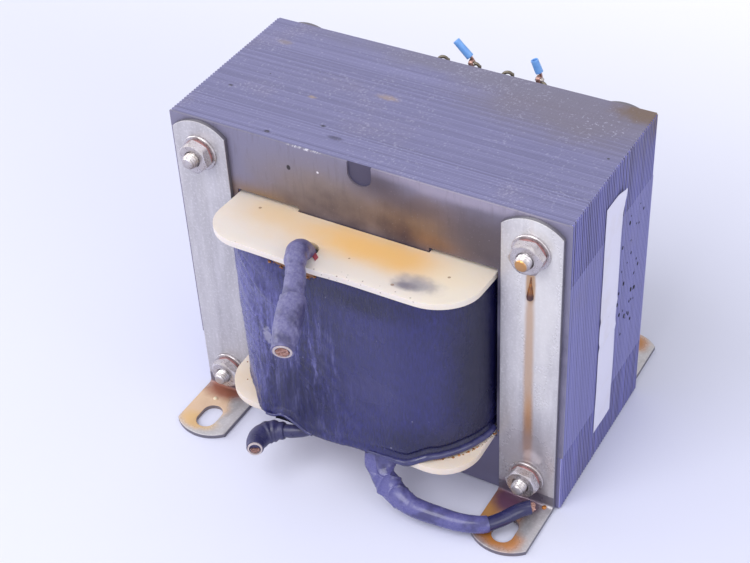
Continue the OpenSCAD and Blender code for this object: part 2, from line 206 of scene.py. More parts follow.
# Meshes
def linked(name, mesh, sharp=40):
    """A new object with a mesh, smooth where faces meet below an angle."""
    mesh.shade_smooth()
    mesh.set_sharp_from_angle(angle=math.radians(sharp))
    piece = bpy.data.objects.new(name, mesh)
    bpy.context.scene.collection.objects.link(piece)
    return piece


def shape(name, points, faces, sharp=40):
    """A new object made of points in millimetres and faces."""
    mesh = bpy.data.meshes.new(name)
    mesh.from_pydata([Vector(p) * MM for p in points], [], faces)
    work = bmesh.new()
    work.from_mesh(mesh)
    bmesh.ops.recalc_face_normals(work, faces=work.faces)
    work.to_mesh(mesh)
    work.free()
    return linked(name, mesh, sharp)


def seat(piece, material, slot, *nodes):
    """Gives a piece its finish and its place on the object."""
    piece.data.materials.clear()
    piece.data.materials.append(material)
    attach(piece, "root")
    if nodes:
        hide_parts(*nodes)
    return piece


def dress(node, material):
    """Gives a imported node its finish."""
    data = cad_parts[node].data
    data.materials.clear()
    data.materials.append(material)


def skin(rings, looped=False):
    """Points and faces between rings of equally many points, closed at both ends or into a loop."""
    count = len(rings[0])
    points = [p for ring in rings for p in ring]
    faces = []
    for i in range(len(rings) if looped else len(rings) - 1):
        a, b = i * count, (i + 1) % len(rings) * count
        for j in range(count):
            k = (j + 1) % count
            faces.append((a + j, a + k, b + k, b + j))
    if not looped:
        faces.append(tuple(range(count)))
        faces.append(tuple(len(points) - 1 - j for j in range(count)))
    return points, faces


def gathered(parts):
    """Several lots of points and faces as one."""
    points, faces = [], []
    for more_points, more_faces in parts:
        base = len(points)
        points += more_points
        faces += [tuple(base + i for i in face) for face in more_faces]
    return points, faces


def smoothed(route, steps=4):
    """A smooth run of points through a route."""
    run = []
    for i in range(len(route) - 1):
        a, b, c, d = (route[max(0, min(len(route) - 1, i + j))] for j in (-1, 0, 1, 2))
        for step in range(steps):
            t = step / steps
            run.append(0.5 * (2 * b + (c - a) * t + (2 * a - 5 * b + 4 * c - d) * t ** 2
                              + (3 * b - a - 3 * c + d) * t ** 3))
    return run + [route[-1].copy()]


def stretch(run, start, end, count):
    """Evenly spaced points on a run, between two shares of its length."""
    lengths = [0.0]
    for a, b in zip(run, run[1:]):
        lengths.append(lengths[-1] + (b - a).length)
    points, i = [], 0
    for step in range(count):
        goal = (start + (end - start) * step / (count - 1)) * lengths[-1]
        while i < len(run) - 2 and lengths[i + 1] < goal:
            i += 1
        t = (goal - lengths[i]) / (lengths[i + 1] - lengths[i])
        points.append(run[i].lerp(run[i + 1], t))
    return points


def sweep(run, radius, sides=28):
    """Rings of points round a run; radius is a number or depends on share and angle."""
    rings, across = [], None
    for i, point in enumerate(run):
        along = (run[min(i + 1, len(run) - 1)] - run[max(i - 1, 0)]).normalized()
        across = along.orthogonal() if across is None else across - along * across.dot(along)
        across.normalize()
        other = along.cross(across)
        ring = []
        for j in range(sides):
            angle = TURN * j / sides
            r = radius(i / (len(run) - 1), angle) if callable(radius) else radius
            ring.append(point + r * (math.cos(angle) * across + math.sin(angle) * other))
        rings.append(ring)
    return rings


def shrunk(ring, keep, shift=Vector()):
    """A ring drawn in towards its middle and shifted."""
    middle = sum(ring, Vector()) / len(ring)
    return [middle + (p - middle) * keep + shift for p in ring]


def turned(profile, axis, steps=48):
    """Rings about a line towards the front; each has a radius and a distance along it."""
    rings = []
    for radius, out in profile:
        ring = []
        for j in range(steps):
            angle = TURN * j / steps
            r = radius(angle) if callable(radius) else radius
            y = out(angle) if callable(out) else out
            ring.append(Vector((axis.x + r * math.cos(angle), axis.y - y, axis.z + r * math.sin(angle))))
        rings.append(ring)
    return rings


def dome(centre, reach, sides, rows, start, span):
    """A rounded drop about a centre, with its half sizes, over a part of the way up to its crown."""
    rings = []
    for i in range(rows + 1):
        rise = math.pi / 2 * (start + span * i / rows)
        wide, high = math.cos(rise), reach[2] * math.sin(rise)
        rings.append([centre + Vector((reach[0] * wide * math.cos(a), reach[1] * wide * math.sin(a), high))
                      for a in (TURN * j / sides for j in range(sides))])
    return skin(rings)


def ease(low, high, value):
    """Smooth step from 0 at low to 1 at high."""
    t = max(0.0, min(1.0, (value - low) / (high - low)))
    return t * t * (3 - 2 * t)


# Settings that a user may change
def colour_of(name, text, code):
    """A colour that a user may change."""
    return FloatVectorProperty(name=name, description=text, subtype="COLOR", size=4, default=linear(code))


def length_of(name, text, size):
    """A length that a user may change, given in millimetres."""
    return FloatProperty(name=name, description=text, unit="LENGTH", default=size * MM)


def power_of(name, text, watts):
    """The power of a lamp that a user may change."""
    return FloatProperty(name=name, description=text, unit="POWER", default=watts)


class StageSettings(bpy.types.PropertyGroup):
    """Camera, floor and light."""
    eye: FloatVectorProperty(name="Camera", description="Place of the camera", unit="LENGTH",
                             default=(0.19357, -0.33804, 0.36434))
    aim: FloatVectorProperty(name="Aim", description="Point in the middle of the view", unit="LENGTH",
                             default=(-0.01597, 0.0, 0.03995))
    roll: FloatProperty(name="Roll", description="Turn of the camera about its own line of sight",
                        unit="ROTATION", default=math.radians(-3.359))
    lens: FloatProperty(name="Lens", description="Focal length on a 36 mm sensor, in millimetres",
                        default=73.9)
    floor_colour: colour_of("Floor", "Colour of the floor", "d7d9ee")
    key_power: power_of("Key light", "Power of the main light", 10.5)
    left_power: power_of("Left light", "Power of the low light on the left", 5.0)
    fill_power: power_of("Fill light", "Power of the side light", 3.8)
    sky: FloatProperty(name="Sky", description="Strength of the even light from all round", default=0.72)


class CoreSettings(bpy.types.PropertyGroup):
    """Finish of the steel plates."""
    edge_colour: colour_of("Plate edges", "Colour of the varnished plate edges", "8a89b6")
    deep_colour: colour_of("Dark plates", "Colour of the darker plates", "57567a")
    face_colour: colour_of("Front plate", "Colour of the clean front plate", "7a7690")
    heat_colour: colour_of("Heat stain", "Brown of the baked varnish", "86673c")


class FootSettings(bpy.types.PropertyGroup):
    """Finish of the feet."""
    zinc_colour: colour_of("Zinc", "Colour of the dull zinc", "d0cdd3")
    varnish_colour: colour_of("Varnish", "Colour of the thin amber varnish", "b8752f")
    edge_round: length_of("Edge rounding", "Rounding of the strap's edges", 0.22)


class FastenerSettings(bpy.types.PropertyGroup):
    """Bolts, nuts and washers."""
    pitch: length_of("Thread pitch", "Distance between thread crests", 0.85)
    depth: length_of("Thread depth", "Depth of the thread", 0.35)
    steel_colour: colour_of("Plated steel", "Colour of the plated steel", "e2dee4")
    fibre_colour: colour_of("Fibre", "Colour of the fibre washers", "b47a7c")


class BobbinSettings(bpy.types.PropertyGroup):
    """Moulded bobbin."""
    nylon_colour: colour_of("Nylon", "Colour of the clean moulding", "dcd5d6")
    aged_colour: colour_of("Aged nylon", "Colour of the varnish-soaked moulding", "dec09a")
    edge_round: length_of("Edge rounding", "Rounding of the flange edges", 0.8)


class CoilSettings(bpy.types.PropertyGroup):
    """Taped coil."""
    tape_colour: colour_of("Tape", "Colour of the varnished tape", "2a2a70")
    bulge: length_of("Bulge", "How far the tape stands out over the lower leads", 2.6)
    crinkle: length_of("Crinkle", "Depth of the crinkles in the tape", 0.16)


class LeadSettings(bpy.types.PropertyGroup):
    """Cut leads."""
    sleeving_colour: colour_of("Sleeving", "Colour of the shrunk sleeving", "555283")
    # the lower left lead's sleeving is darker as painted shade of the coil over it
    shaded_sleeving_colour: colour_of("Shaded sleeving", "Colour of the lower left lead's sleeving", "2b2a57")
    jacket_colour: colour_of("Jacket", "Colour of the smooth cable jacket", "1b1b44")
    copper_colour: colour_of("Copper", "Colour of the cut copper", "c09a92")
    strand: length_of("Strand", "Diameter of a copper strand", 0.46)


class TerminalSettings(bpy.types.PropertyGroup):
    """Wire loops at the back."""
    wire_colour: colour_of("Wire", "Colour of the dull tinned wire", "8d8578")
    sleeve_colour: colour_of("Sleeves", "Colour of the light blue sleeves", "5e93dc")
    wire: length_of("Wire diameter", "Diameter of the loop wire", 1.1)


class LabelSettings(bpy.types.PropertyGroup):
    """Bare label on the right side."""
    paper_colour: colour_of("Label", "Colour of the label stock", "d6d5ea")
    width: length_of("Width", "Width of the label", 12.6)
    height: length_of("Height", "Height of the label", 88.6)


# Stage
def aimed(location, target):
    """Turn that points a lamp or camera from one place to another."""
    return (Vector(target) - Vector(location)).to_track_quat("-Z", "Y")


def put(name, data, place, turn):
    """A lamp or camera at a place, turned as given."""
    thing = bpy.data.objects.new(name, data)
    thing.location = place
    thing.rotation_mode = "QUATERNION"
    thing.rotation_quaternion = turn
    bpy.context.scene.collection.objects.link(thing)
    return thing


class TRANSFORMER_OT_stage(bpy.types.Operator):
    """Sets the camera, the pale floor and the soft light"""
    bl_idname = "transformer.stage"
    bl_label = "Stage"

    def execute(self, context):
        scene, settings = context.scene, context.scene.transformer_stage
        scene.view_settings.view_transform = "Standard"
        turn = aimed(settings.eye, settings.aim) @ Quaternion((0, 0, 1), settings.roll)
        camera = put("camera", bpy.data.cameras.new("camera"), settings.eye, turn)
        camera.data.lens = settings.lens
        camera.data.sensor_width = 36
        scene.camera = camera
        middle = (0.0, 0.0, 0.05)
        for name, place, size, power in (
            ("key_light", (-0.2, -0.8, 1.15), 0.9, settings.key_power),
            ("left_light", (-1.15, -0.35, 0.5), 0.7, settings.left_power),
            ("fill_light", (1.1, -0.5, 0.7), 0.8, settings.fill_power),
        ):
            lamp = put(name, bpy.data.lights.new(name, "AREA"), place, aimed(place, middle))
            lamp.data.size = size
            lamp.data.energy = power
        world = bpy.data.worlds.new("studio")
        scene.world = world
        world.use_nodes = True
        tree = world.node_tree
        tree.nodes.clear()
        path = add(tree, "LightPath", {})
        seen = add(tree, "Math", {0: path.outputs["Is Camera Ray"], 1: path.outputs["Is Glossy Ray"]},
                   operation="MAXIMUM")
        seen = add(tree, "Math", {0: seen, 1: path.outputs["Is Transmission Ray"]},
                   operation="MAXIMUM")
        level = add(tree, "MapRange", {0: seen, 3: settings.sky, 4: 1.0})
        light = add(tree, "Background", {"Color": "ffffff", "Strength": level})
        add(tree, "OutputWorld", {"Surface": light})
        material, tree, shader, where = new_finish("pale_floor")
        depth = add(tree, "SeparateXYZ", {0: where}).outputs["Y"]
        fade = add(tree, "MapRange", {0: depth, 1: 0.1, 2: 0.45}, interpolation_type="SMOOTHSTEP")
        colour = add(tree, "Mix", {0: fade, 6: settings.floor_colour, 7: "ffffff"}, data_type="RGBA")
        join(tree, shader, {"Base Color": colour, "Roughness": 0.6, "Specular IOR Level": 0.2})
        reach = 1500
        floor = shape("floor", [(x, y, 0) for x, y in
                                ((-reach, -reach), (reach, -reach), (reach, reach), (-reach, reach))],
                      [(0, 1, 2, 3)])
        floor.data.materials.append(material)
        return {"FINISHED"}


# Leads
def sleeving_finish(name, base, dusty, shine):
    """Shrunk polyolefin sleeving: dull grey-violet with a fine grain, pale dust and rubbed folds."""
    material, tree, shader, where = new_finish(name)
    grain = add(tree, "TexNoise", {"Vector": where, "Scale": per_mm(0.7), "Detail": 3.0})
    cloud = add(tree, "TexNoise", {"Vector": where, "Scale": per_mm(5), "Detail": 4.0})
    dust = add(tree, "Math", {0: cloud, 1: 0.5, 2: grain}, operation="MULTIPLY_ADD")
    dust = add(tree, "MapRange", {0: dust, 1: 0.55, 2: 1.0, 4: dusty})
    colour = add(tree, "Mix", {0: dust, 6: base, 7: "9a98b8"}, data_type="RGBA")
    fold = add(tree, "MapRange", {0: cloud, 1: 0.5, 2: 0.34})
    colour = laid(tree, colour, fold, 0.5, "2c2b48")
    height = add(tree, "Bump", {"Height": grain, "Distance": 0.12 * MM, "Strength": dusty})
    rough = add(tree, "MapRange", {0: cloud, 1: 0.3, 2: 0.7, 3: shine, 4: shine + 0.2})
    join(tree, shader, {"Base Color": colour, "Roughness": rough, "Normal": height})
    return material


def jacket_finish(settings):
    """Extruded PVC cable jacket: smooth and dark, with long soft highlights."""
    material, tree, shader, where = new_finish("extruded_pvc_jacket")
    smear = add(tree, "TexNoise", {"Vector": where, "Scale": per_mm(4), "Detail": 3.0})
    rough = add(tree, "MapRange", {0: smear, 1: 0.3, 2: 0.7, 3: 0.15, 4: 0.3})
    colour = add(tree, "Mix", {0: smear, 6: settings.jacket_colour, 7: "30305e"}, data_type="RGBA")
    join(tree, shader, {"Base Color": colour, "Roughness": rough, "IOR": 1.53})
    return material


def insulation_finish():
    """Pale inner wire insulation, seen where the leads are cut: chalky with a cut grain."""
    return mottled("cut_silicone_insulation", 0.5, 2.0, "9c8e94", "d2c7c9", {"Roughness": 0.7}, depth=0.08)


def copper_finish(settings):
    """Cut copper strands: dull pink metal, darker where it has tarnished."""
    material, tree, shader, where = new_finish("cut_copper_strands")
    tarnish = add(tree, "TexNoise", {"Vector": where, "Scale": per_mm(0.8), "Detail": 3.0})
    share = add(tree, "MapRange", {0: tarnish, 1: 0.4, 2: 0.7})
    colour = add(tree, "Mix", {0: share, 6: settings.copper_colour, 7: "7d5548"}, data_type="RGBA")
    join(tree, shader, {"Base Color": colour, "Metallic": 0.8, "Roughness": 0.42})
    return material


def cut_cable(name, run, radius, bore, finish):
    """A cable along a run whose far end is cut square, with a hollow for the strands."""
    rings = sweep(run, radius)
    along = (run[-1] - run[-2]).normalized()
    rings.append(shrunk(rings[-1], bore / (radius(1, 0) if callable(radius) else radius), 0.05 * along))
    rings.append(shrunk(rings[-1], 0.97, -0.8 * along))
    return seat(shape(name, *skin(rings)), finish, "lead_sleeving")


def strands(name, run, bore, strand, finish, out=0.25, dropped=0.0, seed=1):
    """A bundle of cut copper strands in the end of a cable."""
    draw = random.Random(seed)
    end, along = run[-1], (run[-1] - run[-2]).normalized()
    across = along.orthogonal().normalized()
    other = along.cross(across)
    parts = []
    rows = int(bore / strand) + 1
    for row in range(-rows, rows + 1):
        for column in range(-rows, rows + 1):
            u = strand * (column + 0.5 * (row % 2))
            v = strand * row * math.sqrt(3) / 2
            if math.hypot(u, v) > bore - strand / 2:
                continue
            foot = end + u * across + v * other
            if foot.z > end.z + bore - dropped:
                continue
            lean = 0.12 * (draw.random() - 0.5) * across + 0.12 * (draw.random() - 0.5) * other
            top = foot + along * (out * (0.3 + draw.random())) + lean
            thick = strand * 0.48
            line = [foot - along * 0.7, top - along * 0.08, top]
            parts.append(skin(sweep(line, lambda t, a: thick * (1 if t < 0.9 else 0.75), sides=8)))
    return seat(shape(name, *gathered(parts)), finish, "copper")


def sleeve(name, run, start, end, radius, core, finish, ripple=0.06, grain=2.2, count=60, nodes=(), sides=36):
    """A shrunk sleeve on part of a run, with rounded lips drawn in to the cable."""
    line = stretch(run, start, end, count)
    seed = Vector((start * 31, end * 17, len(name)))

    def outer(t, angle):
        r = radius(t, angle) if callable(radius) else radius
        point = line[min(count - 1, int(t * (count - 1)))]
        spot = point / grain + Vector((math.cos(angle), math.sin(angle), 0)) * r / grain + seed
        lip = min(1.0, min(t, 1 - t) * count / 1.5 + 0.55)
        return core + (r - core + ripple * noise.noise(spot)) * math.sqrt(lip)

    rings = sweep(line, outer, sides)
    rings.insert(0, shrunk(rings[0], core / max((rings[0][0] - line[0]).length, core)))
    rings.append(shrunk(rings[-1], core / max((rings[-1][0] - line[-1]).length, core)))
    return seat(shape(name, *skin(rings), sharp=55), finish, "lead_sleeving", *nodes)


class TRANSFORMER_OT_leads(bpy.types.Operator):
    """Makes the three cut leads with their sleeves and copper strands"""
    bl_idname = "transformer.leads"
    bl_label = "Leads"

    def execute(self, context):
        settings = context.scene.transformer_leads
        sleeving = sleeving_finish("shrunk_polyolefin_sleeving", settings.sleeving_colour, 0.36, 0.3)
        crumpled = sleeving_finish("crumpled_polyolefin_sleeving", "52518c", 0.12, 0.14)
        # darker copy of the sleeving: painted shade of the coil over the lower left lead
        shaded = sleeving_finish("painted_shade_polyolefin_sleeving", settings.shaded_sleeving_colour, 0.08, 0.25)
        jacket = jacket_finish(settings)
        pale, copper = insulation_finish(), once("cut_copper_strands", copper_finish, settings)
        strand = settings.strand / MM

        run, core = smoothed(TOP_ROUTE), 2.8

        def neck(t, angle):
            return 3.5 - 0.6 * ease(0.4, 0.85, t) + 0.14 * math.cos(30 * t) * ease(0.3, 0.5, t)

        cable = cut_cable("top_lead_cable", run, core, 2.2, pale)
        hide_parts("top_lead_copper")
        parts = [
            sleeve("top_lead_neck", run, 0.0, 0.47, neck, core, sleeving, nodes=("top_lead",)),
            sleeve("top_lead_cuff", run, 0.43, 0.66, lambda t, a: 3.15 + 0.15 * t, core, sleeving,
                   ripple=0.1, count=40),
            sleeve("top_lead_sleeve_outer", run, 0.58, 0.995,
                   lambda t, a: 3.85 + 0.25 * ease(0, 0.3, t) - 0.8 * ease(0.5, 1, t), core, sleeving,
                   ripple=0.26, grain=1.5, nodes=("top_lead_sleeve",)),
            strands("top_lead_strands", run, 2.1, strand, copper, seed=3),
        ]
        self.declare(cable, run, 2 * core, parts)

        run = smoothed(LEFT_ROUTE)
        cable = cut_cable("left_lead_cable", run, lambda t, a: 1.95 + 0.45 * ease(0.6, 0.75, t), 1.9, pale)
        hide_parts("left_lead_copper")
        parts = [
            sleeve("left_lead_neck", run, 0.0, 0.62, 2.15, 1.95, shaded, nodes=("left_lead",)),
            sleeve("left_lead_sleeve_outer", run, 0.54, 0.985,
                   lambda t, a: 2.7 + 0.9 * ease(0, 0.3, t) - 0.8 * ease(0.6, 1, t)
                   + 0.16 * math.sin(36 * t) * (1 - ease(0.35, 0.6, t)), 2.35, shaded,
                   ripple=0.12, count=80, nodes=("left_lead_sleeve",)),
            strands("left_lead_strands", run, 1.8, strand, copper, dropped=1.6, seed=5),
        ]
        self.declare(cable, run, 4.8, parts)

        run, core = smoothed(RIGHT_ROUTE), 2.3
        short = stretch(run, 0.0, 0.97, 120)
        cable = cut_cable("right_lead_cable_jacket", short, core, 1.7, jacket)
        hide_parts("right_lead_cable", "right_lead_copper")

        def boot(t, angle):
            loose = 1 - ease(0.3, 0.95, t)
            round_ = Vector((math.cos(angle), math.sin(angle), 0))
            near, next_ = noise.voronoi(round_ * 0.6 + Vector((0, 0, 5.5 * t)))[0][:2]
            return 3.3 - 0.3 * t + loose * (0.6 + 0.6 * math.cos(2 * angle - 1.6) + 1.7 * (near - 0.4)
                                            + 0.5 * max(0.0, 0.1 - (next_ - near)) / 0.1)

        parts = [
            sleeve("right_lead_boot_sleeve", run, 0.03, 0.52, boot, 2.5, crumpled, ripple=0.05, count=130,
                   nodes=("right_lead_boot",), sides=72),
            sleeve("right_lead_smooth_sleeve", run, 0.42, 0.765, lambda t, a: 3.25 - 0.55 * t, core, crumpled,
                   ripple=0.04, nodes=("right_lead_sleeve",)),
            strands("right_lead_strands", short, 1.6, strand, copper, out=1.1, seed=7),
        ]
        self.declare(cable, short, 2 * core, parts)
        return {"FINISHED"}

    @staticmethod
    def declare(cable, run, diameter, parts):
        """Does nothing; the cable, run, diameter and parts that it is given are not used."""


# Core
def lamination_finish(name, settings, side_light_tone, side_light_share):
    """Varnished edges of stamped steel plates: each plate a shade of its own with a fine line between,
    streaks along it, a dull brown patch at the back, pale dust and small dark dents; the flat of a
    plate is a duller grey. Sides that face X are tinted bluer and lighter as painted light, and
    plate faces in the recesses near the sides are lightened as painted light against their shade."""
    material, tree, shader, where = new_finish(name)
    axes = add(tree, "SeparateXYZ", {0: where})
    depth = add(tree, "Math", {0: axes.outputs["Y"], 1: -FACE * MM}, operation="ADD")
    number = add(tree, "Math", {0: depth, 1: per_mm(PLATE_T)}, operation="MULTIPLY")
    across = add(tree, "Math", {0: number}, operation="FRACT")
    number = add(tree, "Math", {0: number}, operation="FLOOR")
    own = add(tree, "TexWhiteNoise", {"W": number}, noise_dimensions="1D")
    streak = streaked(tree, where, (26, 0.5, 26), 5.0, 0.7)
    band = streaked(tree, where, (30, 1.7, 40), 3.0, 0.6)
    shade = add(tree, "Math", {0: own.outputs["Value"], 1: 0.55, 2: streak}, operation="MULTIPLY_ADD")
    shade = add(tree, "Math", {0: band, 1: 0.3, 2: shade}, operation="MULTIPLY_ADD")
    shade = add(tree, "MapRange", {0: shade, 1: 0.2, 2: 1.75})
    colour = add(tree, "Mix", {0: shade, 6: settings.deep_colour, 7: settings.edge_colour},
                 data_type="RGBA")
    # painted light: the sides that face X are tinted bluer and lighter
    facing = add(tree, "SeparateXYZ", {0: add(tree, "NewGeometry", {}).outputs["True Normal"]})
    side = add(tree, "Math", {0: facing.outputs["X"]}, operation="ABSOLUTE")
    colour = laid(tree, colour, side, side_light_share, side_light_tone)
    cloud = add(tree, "TexNoise", {"Vector": where, "Scale": per_mm(24), "Detail": 5.0})
    dull = add(tree, "MapRange", {0: cloud, 1: 0.5, 2: 0.72}, interpolation_type="SMOOTHSTEP")
    colour = laid(tree, colour, dull, 0.35, "77708a")
    for centre, reach, ragged, grain, tone, share in (
        ((44, 21, CORE_TOP), (32, 14, 14), 0.5, 14, "706a7a", 0.8),
        ((8, 29, CORE_TOP), (44, 6, 6), 0.6, 9, "737086", 0.7),
        ((64, 29, CORE_TOP), (9, 5, 7), 0.7, 4, "6b5747", 0.9),
        ((-9.8, 3.7, CORE_TOP), (3.4, 1.2, 3), 0.7, 1.2, "a08c7e", 0.6),
        ((-31, -5.9, CORE_TOP), (1.2, 0.7, 3), 0.7, 1.2, "a08c7e", 0.7),
        ((-56, 18.4, CORE_TOP), (2.4, 1.2, 3), 0.7, 1.2, "857a80", 0.7),
        ((-13.2, -22, CORE_TOP), (2.2, 0.8, 3), 0.7, 1.2, "3f3c58", 0.8),
        ((-33.4, -27.7, CORE_TOP), (0.9, 0.6, 3), 0.4, 1.2, "2f2c40", 1.0),
        ((-19.7, -18.1, CORE_TOP), (0.8, 0.5, 3), 0.4, 1.2, "2f2c40", 1.0),
        ((-57.5, -10.9, CORE_TOP), (0.7, 0.5, 3), 0.4, 1.2, "2f2c40", 1.0),
    ):
        mask = patch(tree, where, centre, reach, soft=0.6, ragged=ragged, grain=grain)
        colour = laid(tree, colour, mask, share, tone)
    line = add(tree, "MapRange", {0: across, 1: 0.0, 2: 0.25, 3: 1.0, 4: 0.0})
    colour = laid(tree, colour, line, 0.6, "35335a")
    powder = add(tree, "TexNoise", {"Vector": where, "Scale": per_mm(0.8), "Detail": 3.0, "Roughness": 0.6})
    powder = add(tree, "Math", {0: cloud, 1: 0.35, 2: powder}, operation="MULTIPLY_ADD")
    powder = add(tree, "MapRange", {0: powder, 1: 0.76, 2: 0.86})
    scraped = patch(tree, where, (57, 19, CORE_TOP), (9, 7, 3), soft=0.6)
    dust = add(tree, "Math", {0: scraped, 1: 1.2, 2: 0.8}, operation="MULTIPLY_ADD")
    powder = add(tree, "Math", {0: powder, 1: dust}, operation="MULTIPLY")
    specks = flecks(tree, where, (2.2, 0.8, 2.2), empty=0.8, size=0.22)
    specks = add(tree, "Math", {0: specks, 1: powder}, operation="MAXIMUM")
    specks = add(tree, "Math", {0: specks, 1: facing.outputs["Z"]}, operation="MULTIPLY")
    colour = laid(tree, colour, specks, 0.3, "c2c1dc")
    colour = laid(tree, colour, flecks(tree, where, (7, 7, 7), empty=0.7, size=0.09), 1.0, "3a3848")
    flat = add(tree, "Math", {0: facing.outputs["Y"]}, operation="ABSOLUTE")
    flat = add(tree, "MapRange", {0: flat, 1: 0.6, 2: 0.8})
    colour = laid(tree, colour, flat, 0.7, "6a6580")
    # painted light: plate faces in the recesses near the sides are lightened, at random per plate, against
    # their shade
    outward = add(tree, "Math", {0: axes.outputs["X"]}, operation="ABSOLUTE")
    outward = add(tree, "MapRange", {0: outward, 1: (SIDE - 2) * MM, 2: (SIDE - 1) * MM})
    wall = add(tree, "Math", {0: flat, 1: outward}, operation="MULTIPLY")
    wall = add(tree, "Math", {0: wall, 1: own.outputs["Value"]}, operation="MULTIPLY")
    colour = laid(tree, colour, wall, 0.9, "8484c8")
    notch = patch(tree, where, (0, FACE, CORE_TOP - 4), (9, 3, 9))
    notch = add(tree, "Math", {0: flat, 1: notch}, operation="MULTIPLY")
    colour = laid(tree, colour, notch, 1.0, "454159")
    rough = add(tree, "MapRange", {0: streak, 1: 0.3, 2: 0.7, 3: 0.36, 4: 0.52})
    grain = add(tree, "Math", {0: line, 1: -0.6, 2: streak}, operation="MULTIPLY_ADD")
    height = add(tree, "Bump", {"Height": grain, "Distance": 0.09 * MM, "Strength": 0.8})
    join(tree, shader, {"Base Color": colour, "Roughness": rough, "Normal": height})
    return material


def face_finish(settings):
    """Rolled steel front plate under baked varnish: lavender grey at the edges, olive-brown heat
    stain across the yoke, soft dark clouds, a dark spot, a bright chip on the top edge, a pale
    band of painted highlight along the right part of the top edge, a small painted glint, and
    painted shade over the lower part of the plate behind the coil."""
    material, tree, shader, where = new_finish("heat_stained_rolled_steel")
    grain = streaked(tree, where, (1.1, 5, 9), 4.0, 0.7)
    speck = add(tree, "TexNoise", {"Vector": where, "Scale": per_mm(0.6), "Detail": 2.0})
    colour = add(tree, "Mix", {0: grain, 6: settings.face_colour, 7: "7d7a92"}, data_type="RGBA")
    for centre, reach, soft, tone, share in (
        ((-33, FACE, 88.5), (15, 6, 4.5), 0.8, settings.heat_colour, 0.85),
        ((-12, FACE, 98), (20, 6, 9), 0.9, "7f7370", 0.7),
        ((2, FACE, 94), (30, 6, 7), 0.9, "7d6c62", 0.7),
        ((22, FACE, 97), (15, 6, 8), 0.8, "7b6047", 0.75),
        ((26, FACE, 91.5), (10, 6, 3), 0.9, "86603c", 0.65),
        ((41, FACE, 96), (12, 6, 11), 0.9, "544b54", 0.85),
        ((7, FACE, 107), (8, 6, 4), 0.9, "51474f", 0.75),
        ((16, FACE, 102.5), (9, 6, 3.5), 0.9, "50454e", 0.65),
        ((38, FACE, 99), (9, 6, 6), 0.9, "524953", 0.6),
        # painted highlight along the right part of the top edge
        ((30, FACE, CORE_TOP), (26, 6, 3), 0.5, "9d96ad", 0.8),
        # painted shade over the plate behind and below the coil
        ((0, FACE, 54), (58, 6, 37), 0.3, "2c2742", 0.9),
        ((-24.5, FACE, 103.3), (0.7, 3, 0.9), 0.2, "27232c", 1.0),
        # painted glint
        ((-14.3, FACE, 104.6), (0.36, 3, 0.36), 0.2, "e2deea", 1.0),
    ):
        mask = patch(tree, where, centre, reach, soft=soft, ragged=0.45, grain=12)
        colour = laid(tree, colour, mask, share, tone)
    worn = patch(tree, where, (-18, FACE, CORE_TOP), (6, 1.2, 0.3), soft=0.3)
    chipped = add(tree, "MapRange", {0: grain, 1: 0.5, 2: 0.58})
    worn = add(tree, "Math", {0: worn, 1: chipped}, operation="MULTIPLY")
    colour = laid(tree, colour, worn, 0.8, "e4e2f0")
    pit = add(tree, "MapRange", {0: speck, 1: 0.66, 2: 0.82})
    colour = laid(tree, colour, pit, 0.4, "a59fb0")
    drip = streaked(tree, where, (1.4, 5, 12), 4.0, 0.65)
    drip = add(tree, "MapRange", {0: drip, 1: 0.52, 2: 0.75})
    colour = laid(tree, colour, drip, 0.3, "544b50")
    rough = add(tree, "MapRange", {0: grain, 1: 0.3, 2: 0.7, 3: 0.3, 4: 0.46})
    height = add(tree, "Bump", {"Height": speck, "Distance": 0.03 * MM, "Strength": 0.6})
    join(tree, shader, {"Base Color": colour, "Metallic": 0.25, "Roughness": rough, "Normal": height})
    return material


class TRANSFORMER_OT_core(bpy.types.Operator):
    """Gives the core's plates their varnished steel"""
    bl_idname = "transformer.core"
    bl_label = "Core"

    def execute(self, context):
        settings = context.scene.transformer_core
        legs = lamination_finish("varnished_e_lamination_steel", settings, "7676c8", 0.4)
        # the I plates get a lighter copy whose recessed ends are painted light against the shade in their
        # recess
        lit_bars = lamination_finish("varnished_i_lamination_painted_light", settings, "c4c4ff", 0.85)
        for node, finish in (("e_plates_up", legs), ("e_plates_down", legs), ("i_plates_top", lit_bars),
                             ("i_plates_bottom", lit_bars)):
            dress(node, finish)
        dress("front_plate", face_finish(settings))
        draw, parts = random.Random(6), []
        drops = 34
        for _ in range(drops):
            y, z, size = 7 + 18 * draw.random(), 40 + 46 * draw.random(), 0.22 + 0.4 * draw.random() ** 2
            reach = size, 1.5 * size, 0.3 * size
            points, faces = dome(Vector((y, z, SIDE)), reach, sides=14, rows=6, start=-0.2, span=1.16)
            parts.append(([Vector((p.z, p.x, p.y)) for p in points], faces))
        black = once("black_varnish_and_painted_shade", black_varnish_and_shade_finish)
        seat(shape("side_spatter", *gathered(parts)), black, "core_steel")
        return {"FINISHED"}


